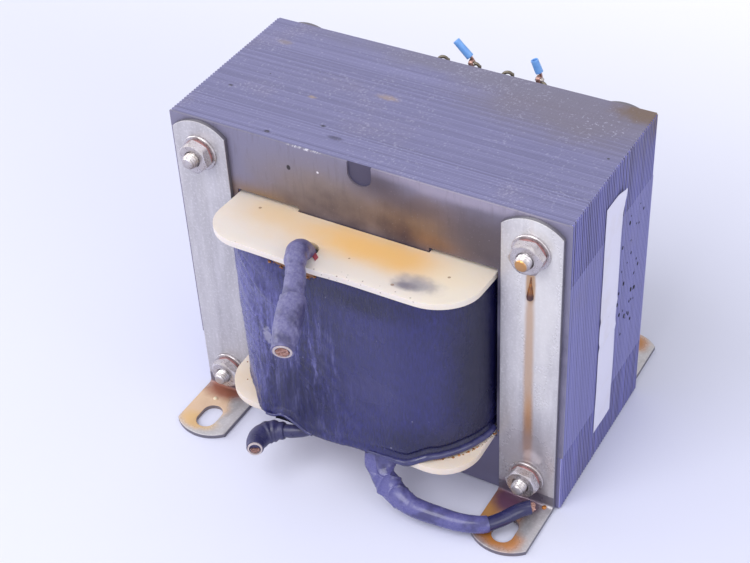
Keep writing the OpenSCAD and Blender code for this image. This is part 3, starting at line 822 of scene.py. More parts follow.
# Feet
def zinc_finish(settings):
    """Zinc-plated strap: dull and faintly spangled, with amber varnish round the slots, baked red-brown
    in the bend, dark cut edges that are partly painted shade of the gap beside the core, and a thin
    brown run down the right front strap; that strap also has a pale pool of painted light and
    painted shade low down by the nut, and the right bend is tinted violet as painted shade and
    reflection of the blue coil."""
    material, tree, shader, where = new_finish("dull_zinc_plate")
    axes = add(tree, "SeparateXYZ", {0: where})
    depth = add(tree, "Math", {0: axes.outputs["Y"]}, operation="ABSOLUTE")
    both = add(tree, "CombineXYZ", {0: axes.outputs["X"], 1: depth, 2: axes.outputs["Z"]})
    spangle = add(tree, "TexNoise", {"Vector": where, "Scale": per_mm(0.8), "Detail": 3.0})
    cloud = streaked(tree, where, (2.5, 6, 16), 5.0, 0.6)
    colour = add(tree, "Mix", {0: cloud, 6: "9d9a9f", 7: settings.zinc_colour}, data_type="RGBA")
    light = add(tree, "MapRange", {0: spangle, 1: 0.5, 2: 0.75})
    colour = laid(tree, colour, light, 0.5, "e0dde4")
    face, patched = -FACE, None
    for place, centre, reach, soft, ragged, tone, share in (
        (both, (51.4, face + 11, 0), (7.8, 12.5, 7), 0.2, 0.3, "9a6238", 0.85),
        (both, (47.4, face + 9, 0), (3.6, 8, 5), 0.6, 0.4, "c08c50", 0.8),
        (both, (56, face + 20, 0), (7, 4.5, 5), 0.4, 0.4, settings.varnish_colour, 0.9),
        # baked red-brown varnish in the right bend, tinted violet as painted shade and reflection of the blue
        # coil
        (both, (54, face + 3.6, 3), (8.5, 6.4, 6), 0.4, 0.4, "634160", 0.95),
        (both, (-59, face + 13, 0), (8.4, 11, 6), 0.2, 0.3, "d2ae8c", 0.8),
        (both, (-57, face + 20, 0), (7, 3.5, 5), 0.4, 0.4, "cfa664", 0.6),
        (both, (-57.5, face + 3, 2), (8, 4.6, 5), 0.5, 0.4, "8a4a38", 0.9),
        # painted light: a pale pool on the right front strap
        (where, (58, FACE - 2, 84), (8, 3, 42), 0.8, 0.4, "dddbdd", 0.6),
        (where, (55.5, FACE - 2, 88.5), (1.5, 3, 7), 0.3, 0.15, "b3906e", 0.95),
        (where, (55.4, FACE - 2, 58), (1.5, 3, 40), 0.5, 0.2, "b08f74", 0.8),
        (where, (55.7, FACE - 2, 28), (1.5, 3, 16), 0.6, 0.2, "b07c46", 0.85),
        # painted shade low on the right front strap by the nut
        (where, (55, FACE - 2, 20), (11, 3, 13), 0.8, 0.5, "8a818a", 0.7),
    ):
        mask = patch(tree, place, centre, reach, soft=soft, ragged=ragged, grain=6)
        colour = laid(tree, colour, mask, share, tone)
        patched = mask if patched is None else add(tree, "Math", {0: patched, 1: mask}, operation="MAXIMUM")
    # dark cut edges: partly the bare cut steel, partly painted shade of the gap beside the core
    slope = add(tree, "SeparateXYZ", {0: add(tree, "NewGeometry", {}).outputs["Normal"]})
    upright = add(tree, "Math", {0: axes.outputs["Z"], 1: 6 * MM}, operation="GREATER_THAN")
    flat = add(tree, "Mix", {0: upright, 2: slope.outputs["Z"], 3: slope.outputs["Y"]}, data_type="FLOAT")
    flat = add(tree, "Math", {0: flat}, operation="ABSOLUTE")
    cut = add(tree, "MapRange", {0: flat, 1: 0.8, 2: 0.3})
    colour = laid(tree, colour, cut, 0.8, "5c5868")
    metal = add(tree, "MapRange", {0: patched, 3: 0.65, 4: 0.15})
    dull = add(tree, "MapRange", {0: spangle, 1: 0.3, 2: 0.7, 3: 0.4, 4: 0.56})
    rough = add(tree, "Mix", {0: patched, 2: dull, 3: 0.18}, data_type="FLOAT")
    height = add(tree, "Bump", {"Height": cloud, "Distance": 0.05 * MM, "Strength": 0.6})
    join(tree, shader, {"Base Color": colour, "Metallic": metal,
                        "Roughness": rough, "Normal": height})
    return material


def amber_finish(settings):
    """Dried impregnating varnish: clear amber beads, nearly black where they are thick."""
    material, tree, shader, where = new_finish("dried_alkyd_varnish")
    thick = add(tree, "TexNoise", {"Vector": where, "Scale": per_mm(2.4), "Detail": 3.0})
    share = add(tree, "MapRange", {0: thick, 1: 0.35, 2: 0.7})
    colour = add(tree, "Mix", {0: share, 6: settings.varnish_colour, 7: "43211c"}, data_type="RGBA")
    for centre, reach, tone in (((55.4, FACE - 2, 84), (2, 2, 2.6), "38191f"),
                                ((-58.4, FACE - 8.6, STRAP_T), (2, 2, 2), "d9cbb5")):
        colour = laid(tree, colour, patch(tree, where, centre, reach), 0.9, tone)
    join(tree, shader, {"Base Color": colour, "Roughness": 0.12, "IOR": 1.52,
                        "Subsurface Weight": 0.25, "Subsurface Radius": (0.0012, 0.0006, 0.0002)})
    return material


def rounded_copy(name, node, width):
    """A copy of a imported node's mesh with its sharp edges rounded."""
    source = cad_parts[node].data
    work = bmesh.new()
    work.from_mesh(source)
    bmesh.ops.remove_doubles(work, verts=work.verts, dist=1e-6)
    bmesh.ops.dissolve_limit(work, angle_limit=math.radians(2), verts=work.verts, edges=work.edges)
    sharp = [e for e in work.edges if len(e.link_faces) == 2 and e.calc_face_angle() > math.radians(35)]
    bmesh.ops.bevel(work, geom=sharp, offset=width, segments=3, profile=0.5, affect="EDGES",
                    clamp_overlap=True)
    mesh = bpy.data.meshes.new(name)
    work.to_mesh(mesh)
    work.free()
    return linked(name, mesh)


class TRANSFORMER_OT_feet(bpy.types.Operator):
    """Makes the four angle feet with rounded edges, and the varnish drops on them"""
    bl_idname = "transformer.feet"
    bl_label = "Feet"

    def execute(self, context):
        settings = context.scene.transformer_feet
        zinc, amber = zinc_finish(settings), once("dried_alkyd_varnish", amber_finish, settings)
        for corner in FEET:
            node = corner + "_foot"
            seat(rounded_copy(node + "_strap", node, settings.edge_round), zinc, "zinc_strap", node)
        face = FACE - STRAP_T
        drop = [Vector((55.6, face + 0.1, 91.5)), Vector((55.5, face, 88.5)), Vector((55.4, face, 85)),
                Vector((55.4, face + 0.1, 83))]
        rings = sweep(smoothed(drop, steps=8),
                      lambda t, a: 0.25 + 0.85 * math.sin(math.pi * t ** 2.4) ** 0.8, sides=20)
        parts = [skin(rings)]
        for centre, reach in ((Vector((62.4, FACE - 2.6, STRAP_T)), (0.8, 0.9, 0.6)),
                              (Vector((-58.4, FACE - 8.6, STRAP_T)), (0.9, 0.8, 0.5))):
            parts.append(dome(centre, reach, sides=24, rows=10, start=-0.3, span=1.28))
        seat(shape("varnish_drops", *gathered(parts)), amber, "zinc_strap")
        return {"FINISHED"}


# Fasteners
def plated_finish(name, settings, tint, share, shine, drop=None):
    """Zinc-plated turned steel: bright worn corners, with a veil of varnish and a drop of it on one tip;
    faces that look down are darker, partly grime and partly painted shade.
    """
    material, tree, shader, where = new_finish(name)
    wear = add(tree, "TexNoise", {"Vector": where, "Scale": per_mm(1.3), "Detail": 4.0})
    veil = add(tree, "TexNoise", {"Vector": where, "Scale": per_mm(4.5), "Detail": 3.0})
    amount = add(tree, "MapRange", {0: veil, 1: 0.4, 2: 0.65, 4: share})
    colour = add(tree, "Mix", {0: wear, 6: "b3aeb4", 7: settings.steel_colour}, data_type="RGBA")
    colour = add(tree, "Mix", {0: amount, 6: colour, 7: tint}, data_type="RGBA")
    if drop:
        colour = laid(tree, colour, patch(tree, where, drop, (2.0, 1.0, 2.0), soft=0.2), 0.9, "c48a3c")
    # faces that look down are darker: partly grime, partly painted shade
    facing = add(tree, "SeparateXYZ", {0: add(tree, "NewGeometry", {}).outputs["Normal"]}).outputs["Z"]
    grime_and_shade = add(tree, "MapRange", {0: facing, 1: 0.45, 2: -0.6})
    colour = laid(tree, colour, grime_and_shade, 0.6, "6a6064")
    rough = add(tree, "MapRange", {0: wear, 1: 0.3, 2: 0.7, 3: shine, 4: shine + 0.2})
    height = add(tree, "Bump", {"Height": wear, "Distance": 0.03 * MM, "Strength": 0.6})
    join(tree, shader, {"Base Color": colour, "Metallic": 0.7, "Roughness": rough, "Normal": height})
    return material


def fibre_finish(name, deep, bright):
    """Vulcanised fibre, as washers and a slip of paper: dull red, darkened by varnish."""
    return mottled(name, 1.5, 4.0, deep, bright, {"Roughness": 0.4})


def hexed(flats, turn):
    """Radius of a six-sided outline at an angle."""
    return lambda angle: flats / 2 / math.cos((angle + turn) % (TURN / 6) - TURN / 12)


def hex_profile(flats, low, high, turn):
    """Outline of a nut or bolt head whose corners are turned off at both ends."""
    outline, crown = hexed(flats, turn), flats * 0.475

    def top(angle):
        return high - max(0.0, outline(angle) - crown) * 0.55

    def foot(angle):
        return low + max(0.0, outline(angle) - crown) * 0.3

    return [(crown, low), (outline, foot), (outline, top), (crown, high)]


class TRANSFORMER_OT_fasteners(bpy.types.Operator):
    """Makes the threaded bolts, the nuts and the washers"""
    bl_idname = "transformer.fasteners"
    bl_label = "Fasteners"

    def execute(self, context):
        settings = context.scene.transformer_fasteners
        tip_low, tip_high = corners("upper_right_bolt")
        tip = Vector(((tip_low.x + tip_high.x) / 2, tip_low.y, (tip_low.z + tip_high.z) / 2))
        bolt_steel = plated_finish("zinc_plated_bolt_steel", settings, "93806c", 0.5, 0.25, tip)
        nut_steel = plated_finish("zinc_plated_nut_steel", settings, "9d8a7c", 0.3, 0.2)
        washer_steel = plated_finish("bright_zinc_washer_steel", settings, "b3a59c", 0.35, 0.2)
        fibre = fibre_finish("vulcanised_fibre", "6d4a4a", settings.fibre_colour)
        pitch, depth = settings.pitch / MM, settings.depth / MM
        bore, flare, centres = 2.45, 0.35, []
        for name, turn in zip(BOLTS, (0.3, 0.9, 0.55, 0.1)):
            low, high = corners(name + "_bolt")
            nut_low, nut_high = corners(name + "_nut")
            middle, tall = (nut_low + nut_high) / 2, nut_high.y - nut_low.y
            centres.append(middle)
            flats = (nut_high.x - nut_low.x) * math.cos(math.pi / 6)
            self.bolt(name + "_threaded_bolt", middle, low.y, high.y, flats, turn, pitch, depth, bolt_steel,
                      name + "_bolt")
            profile = hex_profile(flats, 0, tall, turn)
            profile += [(bore + flare, tall), (bore, tall - 0.4), (bore, 0.4), (bore + flare, 0)]
            axis = Vector((middle.x, nut_high.y, middle.z))
            rings = turned(profile, axis, steps=72)
            seat(shape(name + "_hex_nut", *skin(rings, looped=True), sharp=25), nut_steel, "nut_steel",
                 name + "_nut")
        for node, finish, slot in (("front_washers", washer_steel, "washer_steel"),
                                   ("fibre_washers", fibre, "red_fibre"),
                                   ("back_washers", washer_steel, "washer_steel")):
            low, high = corners(node)
            t, edge, bore, inset = high.y - low.y, 0.15, 2.75, 0.4
            outer = high.x - inset - max(centre.x for centre in centres)
            profile = [(outer - edge, 0), (outer, edge), (outer, t - edge), (outer - edge, t),
                       (bore + edge, t), (bore, t - edge), (bore, edge), (bore + edge, 0)]
            parts = [skin(turned(profile, Vector((centre.x, high.y, centre.z)), steps=56), looped=True)
                     for centre in centres]
            seat(shape(node + "_turned", *gathered(parts), sharp=35), finish, slot, node)
        return {"FINISHED"}

    @staticmethod
    def bolt(name, middle, front, back, flats, turn, pitch, depth, finish, node):
        """One bolt: a hex head at the back, a plain shank and a threaded, chamfered tip."""
        head, radius, thread = 3.0, 2.4, 13.0
        length = back - front - head
        axis = Vector((middle.x, back - head, middle.z))
        profile = [(r, -y if not callable(y) else (lambda a, y=y: -y(a))) for r, y in
                   [(0.3, head)] + hex_profile(flats, 0, head, turn)[::-1]]
        profile += [(radius, 0), (radius, length - thread)]
        steps = int(thread / pitch * 10)
        for step in range(steps):
            out = length - thread + (thread - 0.45) * step / (steps - 1)

            def crest(angle, out=out):
                phase = (out / pitch - angle / TURN) % 1
                taper = 1 - 0.35 * ease(length - 1.3, length - 0.2, out)
                return (radius - depth * (1 - abs(2 * phase - 1)) ** 1.2) * (1 - (1 - taper) * 0.5)

            profile.append((crest, out))
        profile += [(radius * 0.68, length - 0.12), (radius * 0.4, length), (0.05, length)]
        seat(shape(name, *skin(turned(profile, axis)), sharp=30), finish, "bolt_steel", node)


# Bobbin
def nylon_finish(settings):
    """Aged nylon moulding: waxy cream with light in its edges, tan where varnish soaked in, brown
    crumbs by the front edge and one grey smudge."""
    material, tree, shader, where = new_finish("aged_moulded_nylon")
    cloud = add(tree, "TexNoise", {"Vector": where, "Scale": per_mm(16), "Detail": 4.0})
    colour = add(tree, "Mix", {0: cloud, 6: settings.nylon_colour, 7: "dcd1c6"}, data_type="RGBA")
    top = FLANGE_HIGH.z
    for centre, reach, soft, ragged, grain, tone, share in (
        ((2, FACE - 6, top), (32, 9, 6), 0.8, 0.4, 9, settings.aged_colour, 0.9),
        ((10, FACE - 7, top), (20, 6, 6), 0.8, 0.4, 7, "e6b670", 0.85),
        ((-29, FACE - 4, top), (8, 5, 6), 0.9, 0.4, 7, "dfbf92", 0.5),
        ((0, FACE - 14, FLANGE_LOW.z), (42, 9, 6), 0.8, 0.4, 7, "dcb985", 0.6),
        ((36, FACE - 10, top), (9, 14, 6), 0.8, 0.4, 7, "e8ddcb", 0.7),
        ((27, FACE - 15.6, top), (6.0, 3.4, 4), 0.7, 0.6, 3.5, "8a8794", 0.8),
        ((24, FACE - 18, top), (3.4, 1.8, 4), 0.7, 0.6, 3.5, "6f6b7c", 0.8),
    ):
        mask = patch(tree, where, centre, reach, soft=soft, ragged=ragged, grain=grain)
        colour = laid(tree, colour, mask, share, tone)
    colour = laid(tree, colour, flecks(tree, where, (4.2, 4.2, 4.2), empty=0.62, size=0.14), 0.65, "7a5232")
    rim = patch(tree, where, (2, FACE - 22.6, top), (34, 1.6, 4), soft=0.5)
    crumbs = flecks(tree, where, (1.3, 1.3, 1.3), empty=0.6, size=0.34)
    rim = add(tree, "Math", {0: rim, 1: crumbs}, operation="MULTIPLY")
    colour = laid(tree, colour, rim, 0.7, "5a3f30")
    grain = add(tree, "TexNoise", {"Vector": where, "Scale": per_mm(1.2), "Detail": 3.0})
    height = add(tree, "Bump", {"Height": grain, "Distance": 0.04 * MM, "Strength": 0.6})
    rough = add(tree, "MapRange", {0: cloud, 1: 0.3, 2: 0.7, 3: 0.3, 4: 0.45})
    join(tree, shader, {"Base Color": colour, "Roughness": rough, "IOR": 1.53,
                        "Normal": height, "Subsurface Weight": 0.2,
                        "Subsurface Radius": (0.003, 0.002, 0.001)})
    return material


def plan_line(half_w, half_d, r, step):
    """Points round a rectangle with round corners, each with its outward direction."""
    line = []
    for x, y, start in ((1, -1, -0.25), (1, 1, 0.0), (-1, 1, 0.25), (-1, -1, 0.5)):
        centre = Vector((x * (half_w - r), y * (half_d - r)))
        count = max(4, int(TURN / 4 * r / step))
        arc = []
        for i in range(count + 1):
            angle = TURN * (start + 0.25 * i / count)
            out = Vector((math.cos(angle), math.sin(angle)))
            arc.append((centre + r * out, out))
        if line:
            line += straight(line[-1], arc[0], step)
        line += arc
    return line + straight(line[-1], line[0], step)


def straight(first, last, step):
    """Points between two points of a plan, without its ends."""
    count = max(1, int((last[0] - first[0]).length / step))
    return [(first[0].lerp(last[0], i / count), last[1].copy()) for i in range(1, count)]


def rounded_slab(outlines, low, high, edge):
    """Mesh of a flat moulding with holes and rounded rims; the first outline is its outside. It is
    cut across so that it can be bent."""
    work = bmesh.new()
    for outline in outlines:
        ring = [work.verts.new((x, y, low)) for x, y in outline]
        for a, b in zip(ring, ring[1:] + ring[:1]):
            work.edges.new((a, b))
    bmesh.ops.triangle_fill(work, edges=work.edges[:], use_beauty=True, use_dissolve=False)
    reach = max(y for _, y in outlines[0])
    rows, columns = 9, 15
    cuts = [((0, 1, 0), side * (reach + (-FACE - reach) * i / rows))
            for side in (-1, 1) for i in range(1, rows)]
    cuts += [((1, 0, 0), FLANGE_HIGH.x * (2 * i / columns - 1)) for i in range(1, columns)]
    for normal, at in cuts:
        bmesh.ops.bisect_plane(work, geom=work.verts[:] + work.edges[:] + work.faces[:],
                               plane_co=Vector(normal) * at, plane_no=normal)
    bmesh.ops.recalc_face_normals(work, faces=work.faces)
    grown = bmesh.ops.extrude_face_region(work, geom=work.faces[:])
    moved = [g for g in grown["geom"] if isinstance(g, bmesh.types.BMVert)]
    bmesh.ops.translate(work, verts=moved, vec=(0, 0, high - low))
    bmesh.ops.recalc_face_normals(work, faces=work.faces)
    rims = [e for e in work.edges if len(e.link_faces) == 2 and e.calc_face_angle() > math.radians(60)
            and abs(e.verts[0].co.z - e.verts[1].co.z) < 1e-6]
    bmesh.ops.bevel(work, geom=rims, offset=edge, segments=4, profile=0.5, affect="EDGES", clamp_overlap=True)
    work.verts.index_update()
    points = [v.co.copy() for v in work.verts]
    faces = [tuple(v.index for v in f.verts) for f in work.faces]
    work.free()
    return points, faces


def spread(point):
    """How far the coil has pushed the front of the flanges apart at a point of their plan: up and down."""
    share = max(0.0, min(1.0, (FACE - point[1]) / (FACE - FLANGE_LOW.y))) ** 1.2
    pressed = math.exp(-((point[0] - LEADS_X) / 8) ** 2)
    up = share * (1.6 + 0.5 * ease(25, 42, point[0]) - 0.6 * pressed)
    down = share * (0.6 + 0.5 * ease(28, 42, point[0]))
    return up, down


class TRANSFORMER_OT_bobbin(bpy.types.Operator):
    """Makes the moulded bobbin with its rounded flanges and lead slots"""
    bl_idname = "transformer.bobbin"
    bl_label = "Bobbin"

    def execute(self, context):
        settings = context.scene.transformer_bobbin
        edge = settings.edge_round / MM
        half_w, half_d, corner = FLANGE_HIGH.x, FLANGE_HIGH.y, 13.5
        rim = [tuple(p) for p, _ in plan_line(half_w, half_d, corner, step=1.5)]
        tube_w, tube_d, wall = 22.555, 31.38, 1.6
        bore = [(-tube_w, -tube_d), (tube_w, -tube_d), (tube_w, tube_d), (-tube_w, tube_d)]

        def slot(x, half_w, half_d):
            line = plan_line(half_w, half_d, half_d - 0.1, step=0.8)
            return [(p.x + x, p.y + FACE - 15.5) for p, _ in line]

        top, foot, thin = FLANGE_HIGH.z, FLANGE_LOW.z, 2.0
        points, faces = rounded_slab([rim, bore, slot(TOP_ROUTE[0].x, 3.7, 3.6)], top - thin, top, edge)
        upper = [p + Vector((0, 0, spread(p)[0])) for p in points], faces
        slots = [slot(route[0].x, 5.3, 4.5) for route in (LEFT_ROUTE, RIGHT_ROUTE)]
        points, faces = rounded_slab([rim, bore] + slots, foot, foot + FLANGE_T, edge)
        lower = [p - Vector((0, 0, spread(p)[1])) for p in points], faces
        outside = [(x * (1 + wall / tube_w), y * (1 + wall / tube_d)) for x, y in bore]
        rings = [[Vector((x, y, z)) for x, y in line] for line, z in
                 ((bore, foot + 1), (outside, foot + 1), (outside, top - 1), (bore, top - 1))]
        moulding = gathered([upper, lower, skin(rings, looped=True)])
        seat(shape("bobbin_moulding", *moulding, sharp=45), nylon_finish(settings), "nylon", "bobbin")
        return {"FINISHED"}


# Coil
def tape_finish(settings):
    """Varnished crepe tape: deep blue-black under a satin coat, with fine upright crinkles, paler rubbed
    patches and specks of dust; a painted sheen on the left and beside the upper lead, long upright
    creases painted as dark shade and pale highlight lines, and painted shade under the upper
    flange, in a hollow below the upper lead's end, low on the right and in the right corner."""
    material, tree, shader, where = new_finish("varnished_crepe_tape")
    crepe = streaked(tree, where, (0.5, 0.5, 2.4), 4.0, 0.65)
    cloud = add(tree, "TexNoise", {"Vector": where, "Scale": per_mm(15), "Detail": 5.0})
    ridge = add(tree, "MapRange", {0: crepe, 1: 0.28, 2: 0.72})
    colour = add(tree, "Mix", {0: ridge, 6: "18183c", 7: settings.tape_colour}, data_type="RGBA")
    rub = add(tree, "MapRange", {0: cloud, 1: 0.5, 2: 0.75, 4: 0.5}, interpolation_type="SMOOTHSTEP")
    colour = add(tree, "Mix", {0: rub, 6: colour, 7: "3d3b66"}, data_type="RGBA")
    # painted sheen: a paler patch on the left of the tape and a narrow streak beside the upper lead's end,
    # broken up by the crinkles
    rubbed = patch(tree, where, (-30, FACE - 14, 62), (14, 18, 28), soft=0.7, ragged=0.4, grain=10)
    crest = patch(tree, where, (-4.6, FACE - 24, 54), (2.4, 8, 8), soft=0.8, ragged=0.9, grain=2.2)
    crest = add(tree, "Math", {0: crest, 1: 0.55}, operation="MULTIPLY")
    rubbed = add(tree, "Math", {0: rubbed, 1: crest}, operation="MAXIMUM")
    sheen = add(tree, "MapRange", {0: crepe, 1: 0.34, 2: 0.68, 3: 0.3})
    rubbed = add(tree, "Math", {0: rubbed, 1: sheen}, operation="MULTIPLY")
    colour = laid(tree, colour, rubbed, 0.85, "6c6bab")
    # painted creases on the left and middle of the front: the dark lines are painted shade, the pale lines
    # painted highlight
    pulled = streaked(tree, where, (2.0, 2.0, 15), 4.0, 0.7)
    painted_creases = patch(tree, where, (-13, FACE - 20, 50), (17, 16, 28), soft=0.6)
    for low, high, share, tone in ((0.52, 0.4, 0.8, "0f0f34"), (0.54, 0.66, 0.4, "8685c2")):
        line = add(tree, "MapRange", {0: pulled, 1: low, 2: high})
        line = add(tree, "Math", {0: painted_creases, 1: line}, operation="MULTIPLY")
        colour = laid(tree, colour, line, share, tone)
    for centre, reach, tone, share in (
        # a paler patch right of the middle
        ((20, FACE - 22, 57), (20, 12, 20), "38386c", 0.4),
        # painted shade under the upper flange's front edge
        ((10, FACE - 22, 81), (17, 8, 4), "0b0b20", 0.6),
        # painted shade in a hollow below the upper lead's end
        ((-11.8, FACE - 24, 34), (9, 10, 13), "10103a", 0.65),
        # painted shade low on the right of the front
        ((30, FACE - 18, 29), (15, 14, 7), "0b0b20", 0.6),
        # painted shade in the right corner beside the strap
        ((44, FACE - 8, 56), (8, 13, 46), "08082c", 0.95),
    ):
        colour = laid(tree, colour, patch(tree, where, centre, reach, soft=0.7), share, tone)
    scuff = patch(tree, where, (-23, FACE - 22, 55), (1.5, 6, 3), soft=0.3, ragged=0.9, grain=1.2)
    colour = laid(tree, colour, scuff, 0.8, "8a88a4")
    colour = laid(tree, colour, flecks(tree, where, (3.4, 3.4, 3.4), empty=0.7, size=0.1), 0.4, "9a98b2")
    rough = add(tree, "MapRange", {0: cloud, 1: 0.35, 2: 0.7, 3: 0.16, 4: 0.34})
    height = add(tree, "Bump", {"Height": crepe, "Distance": 0.24 * MM, "Strength": 1.0})
    join(tree, shader, {"Base Color": colour, "Roughness": rough, "IOR": 1.5, "Normal": height})
    return material


def fold_finish():
    """Folded edge of the varnished tape: smoother than the rest, with a shiny, paler crest."""
    return mottled("folded_crepe_tape", 2.5, 3.0, "1b1b3c", "45457c", {"Roughness": 0.2, "IOR": 1.55})


def black_varnish_and_shade_finish():
    """Near-black varnish, in real drops on the core and as painted shade on the inner tape: dark and a little
    shiny.
    """
    return mottled("black_varnish_and_painted_shade", 1.2, 3.0, "07070f", "15142a",
                   {"Roughness": 0.5, "Specular IOR Level": 0.2})


def paper_finish():
    """Kraft insulating paper: fibrous brown, torn at its edge."""
    return mottled("kraft_insulating_paper", 0.8, 4.0, "5d3f2e", "a2765a", {"Roughness": 0.75}, depth=0.08)


class TRANSFORMER_OT_coil(bpy.types.Operator):
    """Makes the taped coil with its folds, lifted edge, paper and varnish crumbs"""
    bl_idname = "transformer.coil"
    bl_label = "Coil"

    def execute(self, context):
        settings = context.scene.transformer_coil
        plan = plan_line(WRAP_HIGH.x, WRAP_HIGH.y, r=24, step=0.6)
        tape = tape_finish(settings)
        rows = 96
        rings = [[] for _ in range(rows + 4)]
        for point, out in plan:
            low, high = self.lower_edge(point, out), self.upper_edge(point, out)
            for row in range(rows):
                z = low + (high - low) * (row / (rows - 1)) ** 1.4
                spot = point + out * self.stand(settings, point, out, z, low, high)
                rings[row + 2].append(Vector((spot.x, spot.y, z)))
            for row, level, inset, lift in ((1, low, 0.35, 0.15), (0, low, 1.1, 1.2),
                                            (rows + 2, high, 0.5, -0.25), (rows + 3, high, 1.3, -1.2)):
                spot = point + out * (self.stand(settings, point, out, level, low, high) - inset)
                rings[row].append(Vector((spot.x, spot.y, level + lift)))
        seat(shape("taped_coil", *skin(rings, looped=True), sharp=60), tape, "varnished_tape", "coil_wrap",
             "wrap_bulge")
        fold = fold_finish()
        self.under_layer(settings, plan, fold)
        self.roll(settings, plan, fold)
        self.paper(plan)
        self.crumbs(context, plan)
        return {"FINISHED"}

    @staticmethod
    def front(out):
        """How squarely a point of the plan looks to the front."""
        return ease(0.55, 0.95, -out.y)

    def hang(self, point, out):
        """How far the tape hangs down over the flange's edge, in millimetres."""
        lead = 1.1 * ease(-18, -10, point.x) + 1.4 * math.exp(-((point.x - LEADS_X) / 10) ** 2)
        return (2.0 + lead) * ease(-31, -26, point.x) \
            * (1 - ease(24, 31, point.x)) * ease(0.4, 0.8, -out.y)

    def swell(self, settings, point, out):
        """How far the tape is pushed out at its foot by the leads behind it."""
        reach = 21 if point.x < LEADS_X else 42
        lead = settings.bulge / MM * math.exp(-((point.x - LEADS_X) / reach) ** 2)
        return lead * self.front(out) + ease(0.4, 0.8, -out.y) \
            * (2.2 * math.exp(-((point.x + 25.5) / 4.5) ** 2) + 0.9 * math.exp(-((point.x - 26) / 5) ** 2))

    def lens(self, point, out):
        """Share of the lifted edge over the left lead."""
        return math.exp(-((point.x + 16.2) / 4.6) ** 4) * self.front(out)

    def lower_edge(self, point, out):
        """Height of the tape's lower edge, which rests on the flange or hangs over it."""
        ragged = 0.25 * noise.noise(Vector((point.x * 0.22, point.y * 0.22, 4.0)))
        hang = self.hang(point, out)
        rest = spread(point)[1] * ease(2, 0, hang)
        return WRAP_LOW.z + 0.1 - rest - hang + 2.6 * self.lens(point, out) + ragged

    def upper_edge(self, point, out):
        """Height of the tape's upper edge below the flange, torn down beside the upper lead."""
        torn = ease(-24, -15, point.x) * (1 - ease(-6, -1, point.x)) * self.front(out)
        ragged = noise.noise(Vector((point.x * 0.5, point.y * 0.5, 9.0)))
        return WRAP_HIGH.z + 0.4 + spread(point)[0] - torn * (2.7 + 0.6 * ragged) - 0.25 * abs(ragged)

    def stand(self, settings, point, out, z, low, high):
        """How far the tape stands out from its plain outline at a point."""
        lens, above = self.lens(point, out), z - low
        bulge = self.swell(settings, point, out) * math.exp(-(max(0.0, z - 25) / 14) ** 1.6)
        flare = 1.3 * lens * math.exp(-(above / 2.2) ** 2)
        right = ease(10, 26, point.x)
        rope = 0.2 * (1 - right) * math.sqrt(max(0.0, 1 - ((above - 1.2) / 1.25) ** 2))
        crease = -(0.1 + 0.6 * right) * math.exp(-((above - 3.5) / 0.9) ** 2)
        run = point.x + math.copysign(point.y + WRAP_HIGH.y, point.x)
        left = math.exp(-((run + 31) / 14) ** 2)
        middle = math.exp(-((run - LEADS_X) / 9) ** 2 - ((z - 43) / 14) ** 2)
        slant = 0.5 + 2.0 * ease(62, 34, z) * left + 0.35 * middle
        size = math.hypot(slant, 1)
        across, onward = (run * slant + z) / size, (run - slant * z) / size
        fold = noise.noise(Vector((across * 0.3, onward * 0.05, 3.0))) \
            + 0.5 * noise.noise(Vector((across * 0.75, onward * 0.1, 8.0)))
        crinkle = noise.noise(Vector((run * 1.1, z * 0.2, 5.0)))
        coarse = noise.noise(Vector((run * 0.07, 1.0, z * 0.05)))
        tuck = -0.9 * math.exp(-(high - z) / 1.6)
        fold *= 0.1 + 0.8 * left + 0.8 * middle
        crinkle *= 0.7 * settings.crinkle / MM
        return bulge + flare + rope + crease + fold + crinkle + 0.35 * coarse + tuck

    def under_layer(self, settings, plan, fold):
        """Lower layer of tape under the lifted edge, near-black as painted shade in that gap, and the hem of
        that edge.
        """
        rings = []
        for point, out in plan:
            if out.y < -0.9 and -22 < point.x < -9:
                rag = noise.noise(Vector((point.x * 0.4, 3.0, 1.0)))
                reach = self.swell(settings, point, out) - 0.35
                low, high = FLANGE_LOW.z - 1.0 + 0.5 * rag, FLANGE_LOW.z + 7
                rings.append([Vector((point.x, point.y - r, z)) for r, z in
                              ((reach, low), (reach - 0.8, high), (reach - 1.1, high), (reach - 0.3, low))])
        # near-black finish stands for the shade in the gap under the lifted edge
        black = once("black_varnish_and_painted_shade", black_varnish_and_shade_finish)
        seat(shape("under_tape_painted_shade", *skin(rings)), black, "varnished_tape")
        line = []
        for point, out in plan:
            if out.y < -0.9 and -25 < point.x < -8:
                reach = self.swell(settings, point, out) + 1.35 * self.lens(point, out)
                line.append(Vector((point.x, point.y - reach, self.lower_edge(point, out))))
        seat(shape("tape_hem", *skin(sweep(line, 0.5, sides=12))), fold, "varnished_tape")

    def roll(self, settings, plan, fold):
        """Rolled edge of the tape, from the middle of the front round the right corner."""
        line = []
        right = [pair for pair in plan if pair[0].x > 12 and pair[0].y < -31]
        for point, out in sorted(right, key=lambda pair: sum(pair[0])):
            low, high = self.lower_edge(point, out), self.upper_edge(point, out)
            spot = point + out * (self.stand(settings, point, out, low + 1, low, high) + 0.1)
            line.append(Vector((spot.x, spot.y, low + 1.0)))
        rings = sweep(stretch(line, 0, 1, 90), lambda t, a: 0.3 + 0.85 * ease(0, 0.35, t), sides=20)
        seat(shape("tape_roll", *skin(rings)), fold, "varnished_tape")

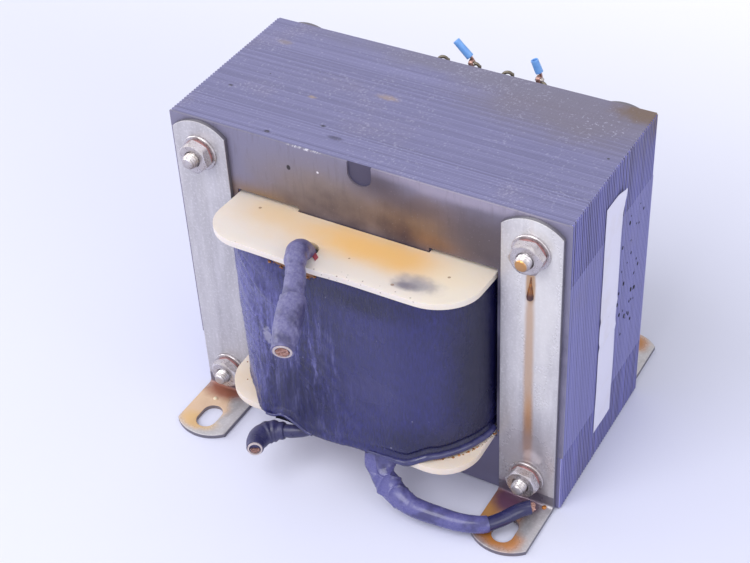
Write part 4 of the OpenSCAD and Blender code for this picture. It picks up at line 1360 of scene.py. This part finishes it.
    def paper(self, plan):
        """Torn paper that shows above the tape beside the upper lead."""
        parts = []
        for layer, inset in enumerate((0.9, 1.7)):
            rings = []
            for p, o in plan:
                if o.y > -0.9 or not -31 < p.x < 0:
                    continue
                rag = noise.noise(Vector((p.x * 0.9, layer * 5.0, 2.0)))
                spot, back = p - o * (inset + 0.25 * rag), p - o * (inset + 0.35)
                top = WRAP_HIGH.z + 0.2 + spread(p)[0] - 1.5 * abs(rag) - 0.9 * (1 - layer)
                rings.append([Vector((spot.x, spot.y, top - 7)), Vector((spot.x, spot.y, top)),
                              Vector((back.x, back.y, top - 0.1)), Vector((back.x, back.y, top - 7))])
            parts.append(skin(rings))
        seat(shape("torn_paper", *gathered(parts)), paper_finish(), "red_fibre")
        ends = Vector((-9.5, -47.0, 0)), Vector((-4.6, -49.6, 0))
        rings = []
        for i in range(13):
            spot = ends[0].lerp(ends[1], i / 12) + Vector((0, 0.5 * math.sin(math.pi * i / 12), 0))
            level = FLANGE_HIGH.z + spread(spot)[0] + 0.05
            rings.append([Vector((spot.x, spot.y + y, level + z)) for y, z in
                          ((-0.9, 0), (0.9, 0.05), (0.9, 0.25), (-0.9, 0.2))])
        slip = fibre_finish("red_fish_paper", "7d3038", "b8505e")
        seat(shape("paper_strip", *skin(rings)), slip, "red_fibre")

    def crumbs(self, context, plan):
        """Crumbs of varnish between the tape and the flanges: along the upper one's front edge and at the
        lower one's two front corners."""
        draw = random.Random(4)
        parts = []

        def crumb(point, out, level, size):
            middle = Vector((point.x, point.y, level)) + out.to_3d()
            reach = 1.3 * size, 1.3 * size, 0.8 * size
            parts.append(dome(middle, reach, sides=10, rows=6, start=-0.96, span=1.92))

        for point, out in plan:
            if abs(point.x) > 27 and point.y < -24 and draw.random() < (0.7 if point.x > 0 else 0.06):
                level = FLANGE_LOW.z + FLANGE_T - spread(point)[1]
                crumb(point, out * (1.3 + 0.4 * draw.random()), level, 0.12 + 0.22 * draw.random() ** 2)
            if out.y < -0.5 and point.x < 26 and draw.random() < 0.6:
                level = self.upper_edge(point, out) - 0.3 * draw.random()
                crumb(point, out * (-0.5 + 0.5 * draw.random()), level, 0.15 + 0.3 * draw.random() ** 2)
        amber = once("dried_alkyd_varnish", amber_finish, context.scene.transformer_feet)
        seat(shape("varnish_crumbs", *gathered(parts)), amber, "varnished_tape")


# Terminals
def tinned_finish(settings):
    """Tinned copper wire: dull grey-brown with brighter rubbed spots and a skin of varnish."""
    material, tree, shader, where = new_finish("dull_tinned_copper_wire")
    wear = add(tree, "TexNoise", {"Vector": where, "Scale": per_mm(1.1), "Detail": 4.0})
    colour = add(tree, "Mix", {0: wear, 6: "5d5548", 7: settings.wire_colour}, data_type="RGBA")
    rough = add(tree, "MapRange", {0: wear, 1: 0.3, 2: 0.7, 3: 0.3, 4: 0.5})
    join(tree, shader, {"Base Color": colour, "Metallic": 0.6, "Roughness": rough})
    return material


def sleeve_finish(settings):
    """Extruded PVC wire sleeve: clean light blue with a soft sheen and a faint draw along it."""
    return mottled("blue_pvc_sleeve", 1.6, 2.0, settings.sleeve_colour, "7db0ef",
                   {"Roughness": 0.38, "IOR": 1.53, "Subsurface Weight": 0.15,
                    "Subsurface Radius": (0.0005, 0.0007, 0.001)})


def solder_finish():
    """Solder left on the loops: bright lumps dulled by flux."""
    return mottled("fluxed_tin_solder", 0.9, 3.0, "8e7f78", "cfc8c8", {"Metallic": 0.85, "Roughness": 0.3})


class TRANSFORMER_OT_terminals(bpy.types.Operator):
    """Makes the wire loops at the back, and the two cut wires in blue sleeves"""
    bl_idname = "transformer.terminals"
    bl_label = "Terminals"

    def execute(self, context):
        settings = context.scene.transformer_terminals
        low, high = corners("terminal_loops")
        wire = settings.wire / MM
        half, thick = 1.65, wire / 2
        first, last = low.x + half + thick, high.x - half - thick
        y = (low.y + high.y) / 2
        parts, lumps = [], []
        bends = (-0.5, 0.25, 0.25), (0.0, 0.0, 0.1), (-0.3, -0.2, 0.45), (-0.9, 0.2, -0.2)
        for i, (tall, lean, twist) in enumerate(bends):
            x = first + (last - first) * i / (len(bends) - 1)
            crown = high.z + tall - half - thick
            line = [Vector((x - half, y, low.z - 1.2)), Vector((x - half * 0.95, y, low.z + 5))]
            for step in range(11):
                angle = math.pi * (1 - step / 10)
                reach = half * math.cos(angle)
                line.append(Vector((x + lean + reach * math.cos(twist), y + reach * math.sin(twist),
                                    crown + half * math.sin(angle))))
            line += [Vector((x + half * 0.95, y, low.z + 5)), Vector((x + half, y, low.z - 1.2))]
            parts.append(skin(sweep(smoothed(line, steps=5), thick, sides=14)))
            for side in (-1, 1):
                foot, rings = Vector((x + side * half, y, low.z)), []
                for out, z in ((0, 1.3), (0.15, 0.9), (0.45, 0.35), (0.8, 0.0), (0, -0.3)):
                    r = thick + out
                    rings.append([foot + Vector((r * math.cos(a), r * math.sin(a), z))
                                  for a in (TURN * j / 20 for j in range(20))])
                lumps.append(skin(rings))
        tinned = tinned_finish(settings)
        seat(shape("tinned_loops", *gathered(parts)), tinned, "tinned_wire", "terminal_loops")
        copper = once("cut_copper_strands", copper_finish, context.scene.transformer_leads)
        blue, solder = sleeve_finish(settings), solder_finish()
        for name, wraps in (("long", 3), ("short", 2)):
            tail_low, tail_high = corners(name + "_sleeve_tail")
            sleeve_low, sleeve_high = corners(name + "_blue_sleeve")
            middle = (sleeve_low + sleeve_high) / 2
            foot = Vector((tail_high.x - 0.7, y, tail_low.z + 0.5))
            along = (middle - foot).normalized()
            self.tail(name, foot, along, (middle - foot).length, wraps, copper, lumps)
            length = 6.8 if name == "long" else 4.4
            self.sleeve(name, middle - along * length / 2, middle + along * length / 2, blue)
        seat(shape("solder_lumps", *gathered(lumps)), solder, "tinned_wire")
        return {"FINISHED"}

    @staticmethod
    def tail(name, foot, along, reach, wraps, finish, lumps):
        """A cut wire wound round the top of its loop and led up into its sleeve."""
        line = []
        for step in range(12 * wraps + 1):
            angle = TURN * step / 12
            line.append(foot + Vector((-1.3 + 0.8 * step / (12 * wraps), 0.95 * math.cos(angle),
                                       -0.75 + 0.95 * math.sin(angle))))
        line += [foot + along * (reach * share) + Vector((0.15, 0.1, 0.0)) for share in (0.35, 0.6, 1.0)]
        wound = sweep(smoothed(line, steps=3), 0.5, sides=12)
        seat(shape(name + "_wound_wire", *skin(wound)), finish, "copper", name + "_sleeve_tail")
        core = foot + Vector((-0.8, 0.15, -0.9))
        rings = []
        for i in range(13):
            rise, ring = math.pi * (-0.49 + 0.98 * i / 12), []
            for j in range(24):
                spot = Vector((math.cos(TURN * j / 24), math.sin(TURN * j / 24), math.sin(rise)))
                out = Vector((1.5 * math.cos(rise) * spot.x, math.cos(rise) * spot.y, 0.9 * spot.z))
                ring.append(core + out * (1 + 0.2 * noise.noise(2 * spot)))
            rings.append(ring)
        lumps.append(skin(rings))

    @staticmethod
    def sleeve(name, start, end, finish):
        """A short hollow sleeve, a little oval and open at its far end."""
        along = (end - start).normalized()
        run = [start.lerp(end, i / 14) for i in range(15)]
        outer = sweep(run, lambda t, a: 1.22 + 0.06 * math.cos(2 * a + 3 * t) + 0.05 * t, sides=32)
        inner = [shrunk(ring, 0.7) for ring in outer[::-1]]
        lips = shrunk(outer[0], 0.94, -0.1 * along), shrunk(outer[-1], 0.94, 0.12 * along)
        rings = [lips[0]] + outer + [lips[1]] + inner
        seat(shape(name + "_sleeve_tube", *skin(rings, looped=True)), finish, "blue_sleeving",
             name + "_blue_sleeve")


# Label
def label_finish(settings):
    """Bare vinyl label stock: satin white, a little yellowed at the edges, with specks of dirt."""
    material, tree, shader, where = new_finish("satin_vinyl_label")
    grime_and_shade = add(tree, "TexNoise", {"Vector": where, "Scale": per_mm(9), "Detail": 5.0})
    share = add(tree, "MapRange", {0: grime_and_shade, 1: 0.5, 2: 0.8, 4: 0.5})
    colour = add(tree, "Mix", {0: share, 6: settings.paper_colour, 7: "c9c2c4"}, data_type="RGBA")
    speck = add(tree, "TexVoronoi", {"Vector": where, "Scale": per_mm(6)})
    dot = add(tree, "MapRange", {0: speck.outputs["Distance"], 1: 0.05, 2: 0.03, 4: 0.6})
    colour = add(tree, "Mix", {0: dot, 6: colour, 7: "6d6878"}, data_type="RGBA")
    join(tree, shader, {"Base Color": colour, "Roughness": 0.4})
    return material


class TRANSFORMER_OT_label(bpy.types.Operator):
    """Lays the bare label on the right side of the core"""
    bl_idname = "transformer.label"
    bl_label = "Label"

    def execute(self, context):
        settings = context.scene.transformer_label
        width, height = settings.width / MM, settings.height / MM
        left, low, thick = -6.7, 12.5, 0.12
        across, up = 16, 70
        sheets = []
        for lift in (0.02, 0.02 + thick):
            grid = []
            for i in range(up + 1):
                for j in range(across + 1):
                    y, z = left + width * j / across, low + height * i / up
                    crease = 0.3 * math.exp(-((z - 49) / 1.2) ** 2) + 0.25 * math.exp(-((z - 59) / 1.0) ** 2)
                    wave = 0.16 * (1 + noise.noise(Vector((y * 0.12, z * 0.07, 3.0))))
                    curl = 0.9 * ease(0.88, 1.0, i / up) * ease(0.5, 1.0, j / across) ** 2
                    grid.append(Vector((SIDE + lift + wave + crease + curl, y, z)))
            sheets.append(grid)
        columns = across + 1
        faces = []
        for i in range(up):
            for j in range(across):
                a = i * columns + j
                faces.append((a, a + 1, a + columns + 1, a + columns))
        base = len(sheets[0])
        faces += [tuple(base + k for k in reversed(face)) for face in faces]
        rim = list(range(across)) + [i * columns + across for i in range(up)]
        rim += [up * columns + j for j in range(across, 0, -1)] + [i * columns for i in range(up, 0, -1)]
        for a, b in zip(rim, rim[1:] + rim[:1]):
            faces.append((a, a + base, b + base, b))
        label = shape("bare_label", sheets[0] + sheets[1], faces, sharp=50)
        seat(label, label_finish(settings), "core_steel")
        return {"FINISHED"}


# Panel and registration
PARTS = (
    ("stage", StageSettings, TRANSFORMER_OT_stage),
    ("leads", LeadSettings, TRANSFORMER_OT_leads),
    ("core", CoreSettings, TRANSFORMER_OT_core),
    ("feet", FootSettings, TRANSFORMER_OT_feet),
    ("fasteners", FastenerSettings, TRANSFORMER_OT_fasteners),
    ("bobbin", BobbinSettings, TRANSFORMER_OT_bobbin),
    ("coil", CoilSettings, TRANSFORMER_OT_coil),
    ("terminals", TerminalSettings, TRANSFORMER_OT_terminals),
    ("label", LabelSettings, TRANSFORMER_OT_label),
)


class TRANSFORMER_PT_panel(bpy.types.Panel):
    """Lists the steps that dress the transformer"""
    bl_idname = "TRANSFORMER_PT_panel"
    bl_label = "Transformer"
    bl_space_type = "VIEW_3D"
    bl_region_type = "UI"
    bl_category = "Transformer"

    def draw(self, context):
        for name, group, operator in PARTS:
            box = self.layout.box()
            box.operator(operator.bl_idname)
            settings = getattr(context.scene, "transformer_" + name)
            for key in group.__annotations__:
                box.prop(settings, key)


def register():
    for name, group, operator in PARTS:
        bpy.utils.register_class(group)
        setattr(bpy.types.Scene, "transformer_" + name, PointerProperty(type=group))
        bpy.utils.register_class(operator)
    bpy.utils.register_class(TRANSFORMER_PT_panel)


def unregister():
    bpy.utils.unregister_class(TRANSFORMER_PT_panel)
    for name, group, operator in reversed(PARTS):
        bpy.utils.unregister_class(operator)
        delattr(bpy.types.Scene, "transformer_" + name)
        bpy.utils.unregister_class(group)


def main():
    register()
    for name, *_ in PARTS:
        getattr(bpy.ops.transformer, name)()


if __name__ == "__main__":
    main()
